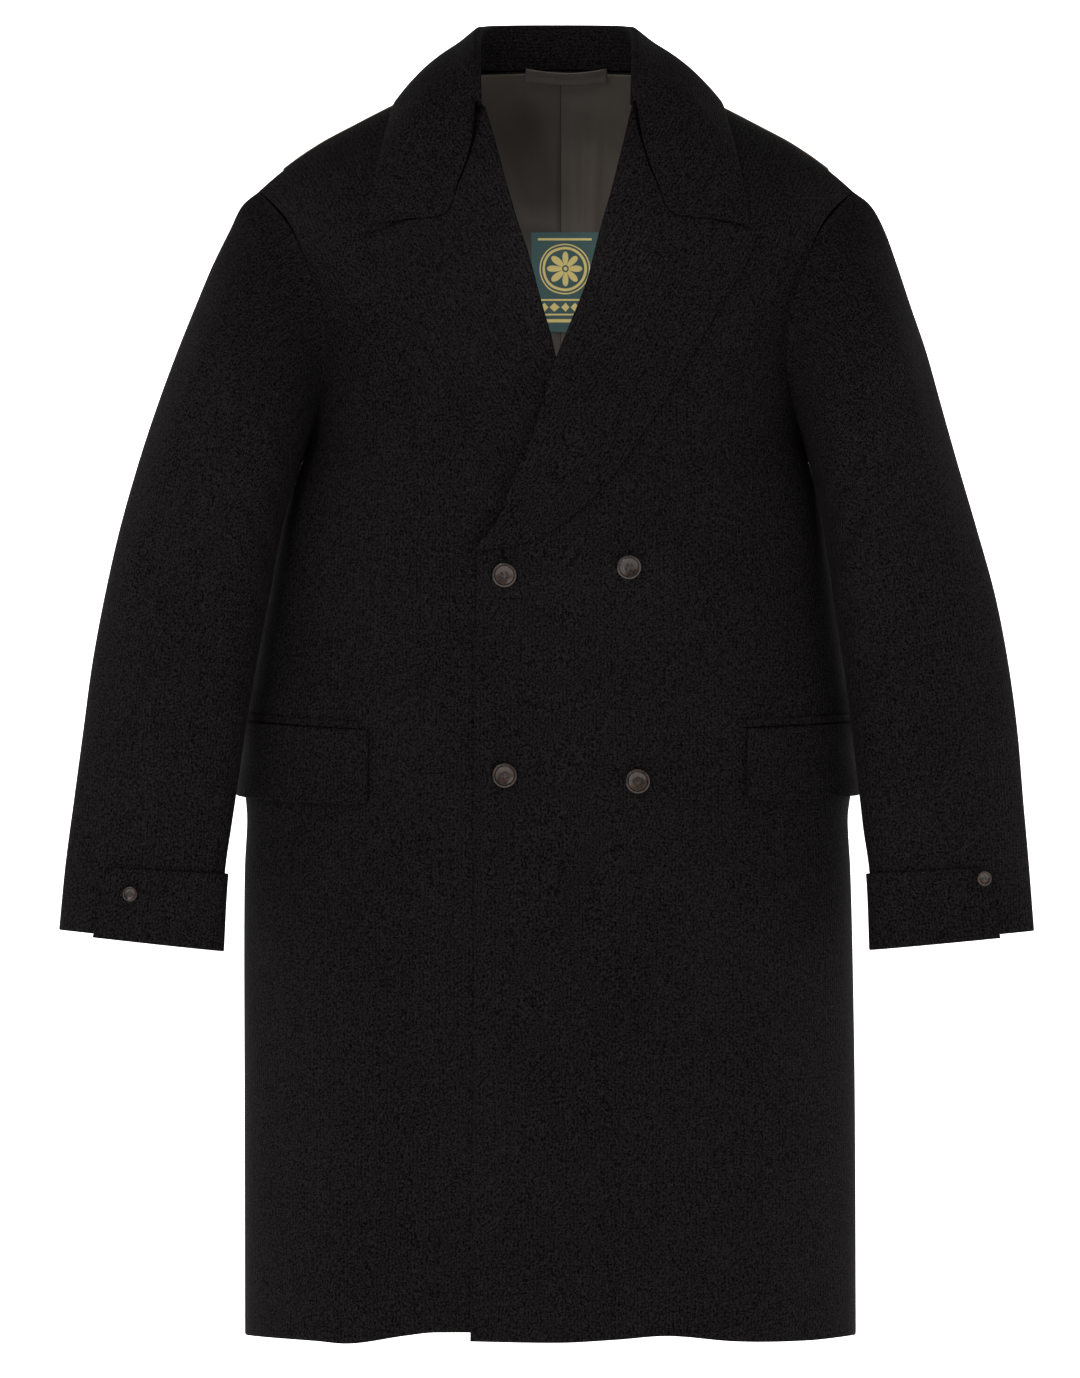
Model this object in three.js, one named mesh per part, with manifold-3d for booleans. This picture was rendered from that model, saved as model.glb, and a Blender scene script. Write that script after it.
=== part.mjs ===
// Double-breasted coat, filled out as if worn, with nobody in it. Millimetres, +Z up, the front faces -Y.
// The wearer's left is +X. Z is 0 at the seam of collar and back, Y is 0 on the shoulder seams.
import * as THREE from "three";
import Module from "manifold-3d";

// Driving sizes
const CLOTH = 2.2; // wall of the body and sleeves: wool and its lining pressed together
const LAPEL_CLOTH = 2.6; // two layers of wool and the canvas
const SEAM_GAP = 0.3; // distance of two pieces at a seam
const HEM_Z = -1112;
const UNDERARM_Z = -323;
const TIP_Z = -103; // shoulder tip
const TIP_X = 262;
const BREAK_Z = -419; // where the lapels begin to turn
const NECK_X = 80; // neck end of the shoulder seam
const NECK_Z = 2;
const BACK_NECK_Z = 5; // the neck seam in the middle of the back
const GORGE_X = 66; // top end of the roll lines
const GORGE_Z = -33;
const SECTION_POWER = 2.3; // roundness of the body's section, 2 is an ellipse
const FRONT_ROUND = 100; // height over which the shoulder turns down to the chest
const BACK_ROUND = 90;
const OVERLAP_LIFT = 3.9; // how far the upper front stands off over the covered one
const LAPEL_LIFT = 4; // outer face of a lapel above the front it lies on
const BUTTON_R = 10.5;
const BUTTON_THICK = 3.4;
const CUFF_BUTTON_R = 6.35;
const CUFF_BUTTON_THICK = 2.6;
const FLAP_CLOTH = 2.8;
const JET_CLOTH = 1.3;
const LINING_CLOTH = 1;
const LABEL_CLOTH = 0.6;

// Body: half widths left and right, depth of front and back, and where the side seam lies
const BODY = [
  { z: -1125, left: 274.6, right: 265, front: 136, back: 112, mid: 18 },
  { z: -900, left: 275, right: 264, front: 134, back: 110, mid: 18 },
  { z: -772, left: 275.4, right: 262, front: 134, back: 107, mid: 19 },
  { z: -700, left: 274.8, right: 260, front: 135, back: 106.5, mid: 20 },
  { z: -657, left: 272.8, right: 257.8, front: 135, back: 106, mid: 20 },
  { z: -624, left: 275, right: 261.2, front: 135, back: 105.5, mid: 20 },
  { z: -596, left: 273.8, right: 260, front: 135, back: 105, mid: 20 },
  { z: -560, left: 274.4, right: 262.4, front: 136, back: 105, mid: 20 },
  { z: -531, left: 268.5, right: 257.2, front: 137, back: 104, mid: 20 },
  { z: -489, left: 261, right: 251, front: 137.5, back: 104, mid: 19 },
  { z: -450, left: 253.4, right: 245.2, front: 138.5, back: 104, mid: 18 },
  { z: -421, left: 247.8, right: 241, front: 138, back: 105, mid: 17 },
  { z: -397, left: 242.6, right: 237.2, front: 137, back: 107.5, mid: 15 },
  { z: -376, left: 236.8, right: 233, front: 135, back: 110, mid: 13 },
  { z: -358, left: 231, right: 228.6, front: 133, back: 112.5, mid: 11 },
  { z: -343, left: 224.4, right: 223.2, front: 131, back: 115, mid: 9 },
  { z: -333, left: 220.8, right: 220.2, front: 130.5, back: 115.5, mid: 8.5 },
  { z: -327, left: 218.4, right: 218.2, front: 130.2, back: 115.8, mid: 8.2 },
  { z: -323, left: 217, right: 217, front: 130, back: 116, mid: 8 },
  { z: -243, left: 224, right: 223, front: 125, back: 117, mid: 5 },
  { z: -202, left: 236, right: 234, front: 120, back: 115, mid: 3 },
  { z: -160, left: 248, right: 246, front: 112, back: 111, mid: 1 },
  { z: -103, left: 268, right: 268, front: 96, back: 104, mid: 0 },
  { z: 40, left: 290, right: 290, front: 62, back: 74, mid: 0 },
];
// Height of the shoulder seam over the distance from the middle
const SHOULDER = [
  { x: 0, z: 30 },
  { x: 40, z: 20 },
  { x: 80, z: 2 },
  { x: 143, z: -28 },
  { x: 182, z: -48 },
  { x: 208, z: -62 },
  { x: 236, z: -81 },
  { x: 262, z: -103 },
  { x: 300, z: -140 },
];
// Armhole: distance of its line from the middle
const ARMHOLE = [
  { z: -323, x: 217 },
  { z: -290, x: 208.5 },
  { z: -243, x: 203 },
  { z: -202, x: 208 },
  { z: -166, x: 221 },
  { z: -134, x: 236 },
  { z: -103, x: 262 },
];
// Soft folds of the skirt, how far they stand out at the hem
const FOLDS = [
  { x: -272, out: 0 },
  { x: -186, out: 6 },
  { x: -111, out: -7 },
  { x: -23, out: 5 },
  { x: 50, out: 1 },
  { x: 109, out: -7 },
  { x: 197, out: 5 },
  { x: 250, out: 0 },
];
const FOLD_TOP = -640; // the folds have faded at this height
// Hem of the two fronts, as it hangs
const HEM_UPPER = [
  { x: -76, z: -1114.5 },
  { x: 0, z: -1115.5 },
  { x: 52, z: -1113 },
  { x: 96, z: -1110 },
  { x: 158, z: -1115 },
  { x: 220, z: -1115 },
  { x: 262, z: -1112 },
];
const HEM_COVERED = [
  { x: -272, z: -1112 },
  { x: -212, z: -1115 },
  { x: -186, z: -1117 },
  { x: -133, z: -1110 },
  { x: -106, z: -1107 },
  { x: 89, z: -1107 },
];
// Front edge of the upper front, then its roll line up to the gorge
const UPPER_EDGE = [
  { z: -1125, x: -75.7 },
  { z: -800, x: -72 },
  { z: -419, x: -68.6 },
  { z: -401, x: -53.7 },
  { z: -378, x: -43 },
  { z: -353, x: -34 },
  { z: -331, x: -22.9 },
  { z: -297.4, x: -12.3 },
  { z: -252.6, x: 0.9 },
  { z: -188.3, x: 25.5 },
  { z: -150.5, x: 36.1 },
  { z: -112.6, x: 47.5 },
  { z: -77.4, x: 56.3 },
  { z: -33, x: 66 },
];
const COVERED_EDGE = [
  { z: -1125, x: 89 },
  { z: -440, x: 89 },
  { z: -419, x: 76 },
  { z: -378, x: 50 },
  { z: -331, x: 27 },
  { z: -297.4, x: 13 },
  { z: -251.7, x: -0.9 },
  { z: -235.8, x: -4.4 },
  { z: -200.6, x: -14.5 },
  { z: -162.8, x: -24.6 },
  { z: -132.9, x: -34.8 },
  { z: -97.7, x: -44.9 },
  { z: -66.9, x: -52.8 },
  { z: -33, x: -62 },
];
// Outer edges of the lapels from the break to the peak, and their top edges out to the peak
const LEFT_LAPEL_EDGE = [
  { t: 0, x: -73, z: -422 },
  { t: 0.08, x: -22.9, z: -411.8 },
  { t: 0.16, x: 5.3, z: -396 },
  { t: 0.27, x: 37.8, z: -367.8 },
  { t: 0.42, x: 77.4, z: -315 },
  { t: 0.57, x: 103.8, z: -273.7 },
  { t: 0.68, x: 118.8, z: -247.3 },
  { t: 0.87, x: 152.2, z: -190 },
  { t: 0.96, x: 168, z: -162.8 },
  { t: 1, x: 176, z: -140.8 },
];
const LEFT_LAPEL_TOP = [
  { u: 0, x: 66, z: -34 },
  { u: 0.2, x: 79, z: -76 },
  { u: 0.38, x: 89.5, z: -100 },
  { u: 0.55, x: 101.2, z: -124.5 },
  { u: 0.78, x: 137, z: -130.6 },
  { u: 1, x: 176, z: -140.8 },
];
const RIGHT_LAPEL_EDGE = [
  { t: 0, x: 80, z: -422 },
  { t: 0.08, x: 29.9, z: -411.8 },
  { t: 0.16, x: 1.8, z: -396 },
  { t: 0.27, x: -43, z: -367.8 },
  { t: 0.42, x: -66.9, z: -330.9 },
  { t: 0.57, x: -93.3, z: -273.7 },
  { t: 0.68, x: -106, z: -253 },
  { t: 0.87, x: -148.7, z: -181.3 },
  { t: 0.96, x: -162, z: -158 },
  { t: 1, x: -167.2, z: -145.2 },
];
const RIGHT_LAPEL_TOP = [
  { u: 0, x: -62, z: -34 },
  { u: 0.2, x: -77.4, z: -78.5 },
  { u: 0.38, x: -88, z: -103.1 },
  { u: 0.55, x: -96.8, z: -125.4 },
  { u: 0.78, x: -130, z: -131.4 },
  { u: 1, x: -167.2, z: -145.2 },
];
// Sleeves: outer line (o) and inner line (i) of each ring, its depth and the middle of the depth
const SLEEVE_LEFT = [
  { oz: -103, ox: 262, iz: -323, ix: 217, depth: 230, y: 0 },
  { oz: -116, ox: 278, iz: -331, ix: 220, depth: 222, y: -1 },
  { oz: -138, ox: 290, iz: -343, ix: 223.6, depth: 205, y: -4 },
  { oz: -170, ox: 301.5, iz: -358, ix: 227.8, depth: 184, y: -8 },
  { oz: -205, ox: 313, iz: -376, ix: 231, depth: 164, y: -13 },
  { oz: -245, ox: 326.5, iz: -397, ix: 234.5, depth: 148, y: -18 },
  { oz: -290, ox: 339, iz: -421, ix: 238, depth: 136, y: -23 },
  { oz: -340, ox: 353, iz: -450, ix: 242, depth: 126, y: -27 },
  { oz: -400, ox: 370.5, iz: -489, ix: 247.5, depth: 116, y: -31 },
  { oz: -460, ox: 387, iz: -531, ix: 254, depth: 107, y: -35 },
  { oz: -520, ox: 398.5, iz: -575, ix: 259.5, depth: 98, y: -38 },
  { oz: -580, ox: 406.5, iz: -621, ix: 265, depth: 86, y: -41 },
  { oz: -640, ox: 411.5, iz: -665, ix: 270, depth: 73, y: -43 },
  { oz: -697, ox: 416.5, iz: -704, ix: 275.5, depth: 61, y: -44 },
  { oz: -755, ox: 421, iz: -768, ix: 279, depth: 54, y: -45 },
  { oz: -813, ox: 425.5, iz: -832, ix: 282.5, depth: 48, y: -46 },
];
const SLEEVE_RIGHT = [
  { oz: -103, ox: 262, iz: -323, ix: 217, depth: 230, y: 0 },
  { oz: -116, ox: 277, iz: -331, ix: 220.4, depth: 222, y: -1 },
  { oz: -138, ox: 288, iz: -343, ix: 224.8, depth: 205, y: -4 },
  { oz: -170, ox: 303.5, iz: -358, ix: 229.5, depth: 184, y: -8 },
  { oz: -205, ox: 318, iz: -376, ix: 234.5, depth: 164, y: -13 },
  { oz: -245, ox: 334, iz: -397, ix: 240, depth: 148, y: -18 },
  { oz: -290, ox: 350.5, iz: -421, ix: 245, depth: 136, y: -23 },
  { oz: -340, ox: 367, iz: -450, ix: 250, depth: 126, y: -27 },
  { oz: -400, ox: 384, iz: -489, ix: 257.5, depth: 116, y: -31 },
  { oz: -460, ox: 397.5, iz: -531, ix: 265, depth: 107, y: -35 },
  { oz: -520, ox: 408.5, iz: -575, ix: 272.5, depth: 98, y: -38 },
  { oz: -580, ox: 416.5, iz: -621, ix: 279, depth: 86, y: -41 },
  { oz: -640, ox: 424.5, iz: -665, ix: 285.5, depth: 73, y: -43 },
  { oz: -697, ox: 432, iz: -704, ix: 291, depth: 61, y: -44 },
  { oz: -754, ox: 437.5, iz: -769, ix: 295.5, depth: 54, y: -45 },
  { oz: -811, ox: 443, iz: -834, ix: 300, depth: 48, y: -46 },
];
// Collar stations from the middle of the back to the gorge: neck seam n, top of the roll r, fall edge e
const COLLAR = [
  { nx: 0, ny: 58, nz: 5.9, rx: 0, ry: 70, rz: 45.4, ex: 0, ez: -48, side: 1 },
  { nx: 38, ny: 48, nz: 4.8, rx: 37, ry: 62, rz: 45, ex: 60, ez: -49, side: 1 },
  { nx: 66, ny: 26, nz: 4.2, rx: 61, ry: 38, rz: 43.6, ex: 112, ez: -40, side: 1 },
  { nx: 78, ny: 0, nz: 5.5, rx: 70, ry: 2, rz: 39.6, ex: 141, ez: -21, side: 0 },
  { nx: 72.4, ny: -44, nz: -12.8, rx: 71, ry: -42, rz: 20, ex: 150, ez: -54, side: -1 },
  { nx: 69.5, ny: -57, nz: -22.5, rx: 70, ry: -68, rz: -8, ex: 160, ez: -95, side: -1 },
];
// The collar's end follows the lapel's top edge to the notch, then runs to its own point.
const COLLAR_END = { u: 0.55, apart: 1.1, high: 9, low: 4.2, tipX: 166, tipZ: -134 };
const COLLAR_MID = 2; // the collar's middle lies this far to the wearer's left
const COLLAR_ROLL_R = 4.6;
const COLLAR_BOW = 5; // how far the fall bows out
const COLLAR_LIFT = 6; // outer face of the collar's edge above the body
// Pockets: front end of flap and jet, height of the flap's top line at the front and at the side
const POCKETS = [
  { name: "right", side: -1, x: -164.6, jetX: -173, topIn: -578, topOut: -569, deep: 66 },
  { name: "left", side: 1, x: 167, jetX: 160, topIn: -576.5, topOut: -570, deep: 64 },
];
const JET_HIGH = 6.5;
// Cuff bands and their buttons
const CUFFS = [
  { name: "right", side: -1, x: -372.7, z: -722 },
  { name: "left", side: 1, x: 374, z: -708.4 },
];
const FRONT_BUTTONS = [
  { x: -44.9, z: -441.8 },
  { x: 63.4, z: -434.7 },
  { x: -44.9, z: -617.8 },
  { x: 71.3, z: -623 },
];
const LINING_LOW = -300;
const LABEL = { x0: -22, x1: 38, top: -136, low: -225 };
const LOOP = { x0: -28.5, x1: 47.5, top: 12.5, low: 1, bulge: 5 };

// Smooth value of a table's column at a place along its key column
function along(rows, key, at, column) {
  const up = rows[rows.length - 1][key] > rows[0][key] ? 1 : -1;
  let i = 0;
  while (i < rows.length - 2 && up * at > up * rows[i + 1][key]) i += 1;
  const k = (n) => rows[Math.min(Math.max(n, 0), rows.length - 1)];
  const slope = (n) => {
    const before = k(n - 1);
    const after = k(n + 1);
    const here = k(n);
    const rise = (after[column] - here[column]) * (here[column] - before[column]);
    if (n > 0 && n < rows.length - 1 && rise < 0) return 0;
    return (after[column] - before[column]) / (after[key] - before[key]);
  };
  const span = k(i + 1)[key] - k(i)[key];
  const t = Math.min(Math.max((at - k(i)[key]) / span, 0), 1);
  const a = k(i)[column];
  const b = k(i + 1)[column];
  const blend = t * t * (3 - 2 * t);
  const bend = span * (slope(i) * t * (1 - t) * (1 - t) - slope(i + 1) * t * t * (1 - t));
  return a + (b - a) * blend + bend;
}
const mix = (a, b, t) => a + (b - a) * t;
const step = (a, b, v) => {
  const t = Math.min(Math.max((v - a) / (b - a), 0), 1);
  return t * t * (3 - 2 * t);
};
const V = (x, y, z) => new THREE.Vector3(x, y, z);

// Shape of the body
const bodyAt = (z, column) => along(BODY, "z", z, column);
const shoulderZ = (x) => along(SHOULDER, "x", Math.abs(x), "z");
const halfWidth = (x, z) => bodyAt(z, x < 0 ? "left" : "right");
const armholeX = (z) => along(ARMHOLE, "z", z, "x");
function bulge(x, z, round) {
  const across = Math.min(Math.abs(x) / halfWidth(x, z), 1);
  const below = Math.min(Math.max((shoulderZ(x) - z) / round, 0), 1);
  const section = Math.max(1 - across ** SECTION_POWER, 0) ** (1 / SECTION_POWER);
  return section * Math.sqrt(1 - (1 - below) ** 2);
}
function foldOut(x, z) {
  return along(FOLDS, "x", x, "out") * step(FOLD_TOP, HEM_Z, z) ** 1.3;
}
const coveredY = (x, z) =>
  bodyAt(z, "mid") - bodyAt(z, "front") * bulge(x, z, FRONT_ROUND) - foldOut(x, z);
const backY = (x, z) => bodyAt(z, "mid") + bodyAt(z, "back") * bulge(x, z, BACK_ROUND);
const coveredEdge = (z) => along(COVERED_EDGE, "z", z, "x");
const upperEdge = (z) => along(UPPER_EDGE, "z", z, "x");
// The upper front stands off where the covered front, or its lapel, lies below it.
function upperY(x, z) {
  const high = OVERLAP_LIFT * (1 + 1.25 * step(-470, -425, z));
  const edge = coveredEdge(z);
  return coveredY(x, z) - high * (1 - step(edge + 2, edge + 75, x));
}
// Outward normal of a face given as y over x and z
function normalOf(yAt, x, z, facing) {
  const inX = x > 0 ? -0.05 : 0.05;
  const dx = (yAt(x + inX, z) - yAt(x, z)) / inX;
  const dz = (yAt(x, z - 0.05) - yAt(x, z)) / -0.05;
  return V(-dx * facing, facing, -dz * facing).normalize();
}
const onFace = (yAt, x, z, facing, lift) =>
  V(x, yAt(x, z), z).addScaledVector(normalOf(yAt, x, z, facing), lift);

// Closed wall between two grids of points
function wall(outer, inner) {
  const rows = outer.length;
  const cols = outer[0].length;
  const points = [];
  const faces = [];
  for (const row of [...outer, ...inner]) {
    for (const p of row) points.push(p.x, p.y, p.z);
  }
  const id = (face, r, c) => face * rows * cols + r * cols + c;
  const quad = (a, b, c, d) => faces.push([a, b, c], [a, c, d]);
  for (let r = 0; r < rows - 1; r += 1) {
    for (let c = 0; c < cols - 1; c += 1) {
      quad(id(0, r, c), id(0, r, c + 1), id(0, r + 1, c + 1), id(0, r + 1, c));
      quad(id(1, r, c), id(1, r + 1, c), id(1, r + 1, c + 1), id(1, r, c + 1));
    }
  }
  for (let c = 0; c < cols - 1; c += 1) {
    quad(id(0, 0, c + 1), id(0, 0, c), id(1, 0, c), id(1, 0, c + 1));
    quad(id(0, rows - 1, c), id(0, rows - 1, c + 1), id(1, rows - 1, c + 1), id(1, rows - 1, c));
  }
  for (let r = 0; r < rows - 1; r += 1) {
    quad(id(0, r, 0), id(0, r + 1, 0), id(1, r + 1, 0), id(1, r, 0));
    quad(id(0, r + 1, cols - 1), id(0, r, cols - 1), id(1, r, cols - 1), id(1, r + 1, cols - 1));
  }
  return closed(points, faces);
}
// Geometry with its faces turned outwards
function closed(points, faces) {
  const p = (i) => V(points[3 * i], points[3 * i + 1], points[3 * i + 2]);
  let volume = 0;
  for (const [a, b, c] of faces) volume += p(a).dot(p(b).cross(p(c)));
  const index = [];
  for (const [a, b, c] of faces) {
    if (volume < 0) index.push(a, c, b);
    else index.push(a, b, c);
  }
  const geometry = new THREE.BufferGeometry();
  geometry.setAttribute("position", new THREE.Float32BufferAttribute(points, 3));
  geometry.setIndex(index);
  geometry.computeVertexNormals();
  return geometry;
}
// Normals of a grid of points
function gridNormals(grid) {
  return grid.map((row, r) =>
    row.map((p, c) => {
      const a = grid[Math.min(r + 1, grid.length - 1)][c];
      const b = grid[Math.max(r - 1, 0)][c];
      const d = row[Math.min(c + 1, row.length - 1)];
      const e = row[Math.max(c - 1, 0)];
      return a.clone().sub(b).cross(d.clone().sub(e)).normalize();
    }),
  );
}
const thicken = (grid, normals, thick) =>
  grid.map((row, r) => row.map((p, c) => p.clone().addScaledVector(normals[r][c], -thick)));
// A wall whose outer face is y over x and z, from a grid of places
function faceWall(places, yAt, facing, thick, lift = () => 0) {
  const outer = [];
  const inner = [];
  for (const row of places) {
    outer.push(row.map((p) => onFace(yAt, p.x, p.z, facing, lift(p))));
    inner.push(row.map((p) => onFace(yAt, p.x, p.z, facing, lift(p) - thick)));
  }
  return wall(outer, inner);
}

const group = new THREE.Group();
group.name = "double_breasted_coat";
const look = (color, roughness) => new THREE.MeshStandardMaterial({ color, roughness });
const WOOL = () => look(0x17151a, 0.95);
const SATIN = () => look(0x3a3430, 0.55);
const HORN = () => look(0x3b302a, 0.35);
const WOVEN = () => look(0x24403a, 0.7);
function add(name, geometry, material) {
  const mesh = new THREE.Mesh(geometry, material);
  mesh.name = name;
  group.add(mesh);
}

// Rows of a body panel: level below the underarm, then a fan up to the shoulder seam
const LOW_ROWS = 15;
const FAN_ROWS = 13;
const fanAt = (r) => (1 - Math.cos((Math.PI * Math.max(r, 0)) / FAN_ROWS)) / 2;
const sideBias = (u) => Math.sin((u * Math.PI) / 2);
function frontPlaces(side, edgeAt, hem, columns) {
  const rows = [];
  for (let r = 0; r < LOW_ROWS; r += 1) {
    const row = [];
    for (let c = 0; c <= columns; c += 1) {
      const u = sideBias(c / columns);
      const flat = mix(HEM_Z, UNDERARM_Z, r / LOW_ROWS);
      const out = side * halfWidth(side, flat);
      const x = mix(edgeAt(flat), out, u);
      const hang = (along(hem, "x", x, "z") - HEM_Z) * (1 - r / LOW_ROWS);
      row.push({ x, z: flat + hang });
    }
    rows.push(row);
  }
  for (let r = 0; r <= FAN_ROWS; r += 1) {
    const t = fanAt(r);
    const inZ = mix(UNDERARM_Z, NECK_Z, t);
    const neck = Math.min(Math.max((inZ - GORGE_Z) / (NECK_Z - GORGE_Z), 0), 1);
    const inX = inZ < GORGE_Z ? edgeAt(inZ) : mix(edgeAt(GORGE_Z), side * NECK_X, neck);
    const outZ = mix(UNDERARM_Z, TIP_Z, t);
    const outX = side * armholeX(outZ);
    const row = [];
    for (let c = 0; c <= columns; c += 1) {
      const u = mix(sideBias(c / columns), c / columns, t * 0.7);
      const x = mix(inX, outX, u);
      const straight = mix(NECK_Z, TIP_Z, (Math.abs(x) - NECK_X) / (TIP_X - NECK_X));
      const arch = Math.abs(x) > NECK_X ? (shoulderZ(x) - straight) * t ** 4 : 0;
      row.push({ x, z: mix(inZ, outZ, u) + arch });
    }
    rows.push(row);
  }
  return rows;
}
// Top edge of the back: the neck seam, then the shoulder seams
function backTopZ(x) {
  const out = Math.abs(x);
  return out < NECK_X ? mix(BACK_NECK_Z, NECK_Z, out / NECK_X) : shoulderZ(out);
}
function backPlaces(columns) {
  const rows = [];
  for (let r = 0; r <= LOW_ROWS + FAN_ROWS; r += 1) {
    const t = fanAt(r - LOW_ROWS);
    const flat = mix(HEM_Z, UNDERARM_Z, Math.min(r / LOW_ROWS, 1));
    const row = [];
    for (let c = 0; c <= columns; c += 1) {
      const u = (2 * c) / columns - 1;
      const side = Math.sign(u) || 1;
      const g = side * mix(sideBias(Math.abs(u)), Math.abs(u), t * 0.7);
      const outZ = r < LOW_ROWS ? flat : mix(UNDERARM_Z, TIP_Z, t);
      const out = r < LOW_ROWS ? halfWidth(side, flat) : armholeX(outZ);
      const z = r < LOW_ROWS ? flat : mix(UNDERARM_Z, backTopZ(TIP_X * g), t);
      row.push({ x: out * g, z });
    }
    rows.push(row);
  }
  return rows;
}
// Panels are drawn apart at the side and shoulder seams by half the seam's gap each.
function bodyPanel(places, yAt, facing) {
  const apart = (x, z) => yAt(x, z) + (facing * SEAM_GAP) / 2;
  return faceWall(places, apart, facing, CLOTH);
}
add("front_left", bodyPanel(frontPlaces(1, upperEdge, HEM_UPPER, 20), upperY, -1), WOOL());
add("front_right", bodyPanel(frontPlaces(-1, coveredEdge, HEM_COVERED, 18), coveredY, -1), WOOL());
add("back", bodyPanel(backPlaces(22), backY, 1), WOOL());

// Lapels: a patch between roll line, outer edge and top edge, laid on its front
function lapelPlaces(edgeAt, outerRows, topRows, side) {
  const ROWS = 16;
  const us = [0, 0.06, 0.2, 0.38, 0.55, 0.78, 1];
  const low = { x: edgeAt(BREAK_Z), z: BREAK_Z };
  const rows = [];
  for (let r = 0; r <= ROWS; r += 1) {
    const t = r / ROWS;
    const rollZ = mix(BREAK_Z, GORGE_Z - 1, t);
    const roll = { x: edgeAt(rollZ) - side * 0.5, z: rollZ };
    const out = { x: along(outerRows, "t", t, "x"), z: along(outerRows, "t", t, "z") };
    const start = { x: outerRows[0].x, z: outerRows[0].z };
    const g = topRows[0];
    const p = topRows[topRows.length - 1];
    rows.push(
      us.map((u) => {
        const place = { u, t };
        for (const k of ["x", "z"]) {
          const top = along(topRows, "u", u, k);
          const bottom = mix(low[k], start[k], u);
          const corners = mix(mix(low[k], start[k], u), mix(g[k], p[k], u), t);
          place[k] = mix(roll[k], out[k], u) + mix(bottom, top, t) - corners;
        }
        return place;
      }),
    );
  }
  return rows;
}
// A lapel stands higher along its roll line.
const LAPEL_ROLL = 4.5;
const lapelLift = (p) => LAPEL_LIFT + LAPEL_ROLL * (1 - p.u) ** 4 * step(0.35, 0.8, p.t);
const leftLapel = lapelPlaces(upperEdge, LEFT_LAPEL_EDGE, LEFT_LAPEL_TOP, 1);
const rightLapel = lapelPlaces(coveredEdge, RIGHT_LAPEL_EDGE, RIGHT_LAPEL_TOP, -1);
add("lapel_left", faceWall(leftLapel, upperY, -1, LAPEL_CLOTH, lapelLift), WOOL());
add("lapel_right", faceWall(rightLapel, coveredY, -1, LAPEL_CLOTH, lapelLift), WOOL());

// Collar: each section goes up the stand, over the roll and down the fall
const FALL_PARTS = [0.15, 0.35, 0.55, 0.78, 1];
function collarEdge(row, side) {
  const x = side * row.ex + COLLAR_MID;
  if (row.side === 0) return V(x, -3, row.ez);
  const yAt = row.side > 0 ? backY : side > 0 ? upperY : coveredY;
  return onFace(yAt, x, row.ez, row.side, COLLAR_LIFT);
}
function collarSection(row, side) {
  const n = V(side * row.nx, row.ny, row.nz);
  const roll = V(side * row.rx, row.ry, row.rz);
  const edge = collarEdge(row, side);
  const out = V(edge.x - n.x, edge.y - n.y, 0).normalize();
  const at = (a, up) =>
    roll.clone().addScaledVector(out, a * COLLAR_ROLL_R).add(V(0, 0, up * COLLAR_ROLL_R));
  const points = [n, n.clone().lerp(at(-1, -1), 0.5), at(-1, -1), at(-0.7, -0.3), roll, at(0.7, -0.3)];
  const start = at(1, -1);
  for (const f of FALL_PARTS) {
    const bow = COLLAR_BOW * Math.sin(Math.PI * f);
    points.push(start.clone().lerp(edge, f).addScaledVector(out, bow).add(V(0, 0, bow * 0.6)));
  }
  return points;
}
// The last section runs down the gorge seam, then along the notch to the collar's point.
function collarEnd(side) {
  const lay = (x, z, lift) => onFace(side > 0 ? upperY : coveredY, x, z, -1, lift);
  const x0 = side * (GORGE_X - 1);
  const points = [
    lay(x0 + side * 4, GORGE_Z + 1, 3.6),
    lay(x0 + side * 2, GORGE_Z + 1, 4.5),
    lay(x0 - side * 1, GORGE_Z + 1, 6),
    lay(x0 - side * 1.5, GORGE_Z + 1, 8.5),
    lay(x0, GORGE_Z + 1, 10.5),
    lay(x0 + side * 3, GORGE_Z - 1, 10.5),
  ];
  const tipX = side * COLLAR_END.tipX + COLLAR_MID;
  const seam = side > 0 ? LEFT_LAPEL_TOP : RIGHT_LAPEL_TOP;
  for (const f of FALL_PARTS) {
    const u = Math.min(f, COLLAR_END.u);
    const toTip = (f - u) / (1 - COLLAR_END.u);
    const x = mix(along(seam, "u", u, "x") + side * COLLAR_END.apart, tipX, toTip);
    const z = mix(along(seam, "u", u, "z") + COLLAR_END.apart, COLLAR_END.tipZ, toTip);
    points.push(lay(x, z, mix(COLLAR_END.high, COLLAR_END.low, u / COLLAR_END.u)));
  }
  return points;
}
const NECK_MIDDLE = V(0, 0, -30);
function collarGeometry() {
  const half = (side) => [...COLLAR.map((row) => collarSection(row, side)), collarEnd(side)];
  const stations = [...half(-1).slice(1).reverse(), ...half(1)];
  const sections = [];
  const BETWEEN = 2;
  for (let s = 0; s < (stations.length - 1) * BETWEEN + 1; s += 1) {
    const at = s / BETWEEN;
    const row = stations[0].map((_, j) => {
      const curve = new THREE.CatmullRomCurve3(stations.map((p) => p[j]), false, "centripetal");
      return curve.getPoint(at / (stations.length - 1));
    });
    sections.push(row);
  }
  // The faces look to the neck on the stand and away from it on the fall.
  const normals = gridNormals(sections).map((row, r) => {
    const last = row.length - 2;
    const away = sections[r][last].clone().sub(NECK_MIDDLE);
    const turn = row[last].dot(away) < 0 ? -1 : 1;
    return row.map((n) => n.multiplyScalar(turn));
  });
  return wall(sections, thicken(sections, normals, CLOTH));
}
add("collar", collarGeometry(), WOOL());

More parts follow.
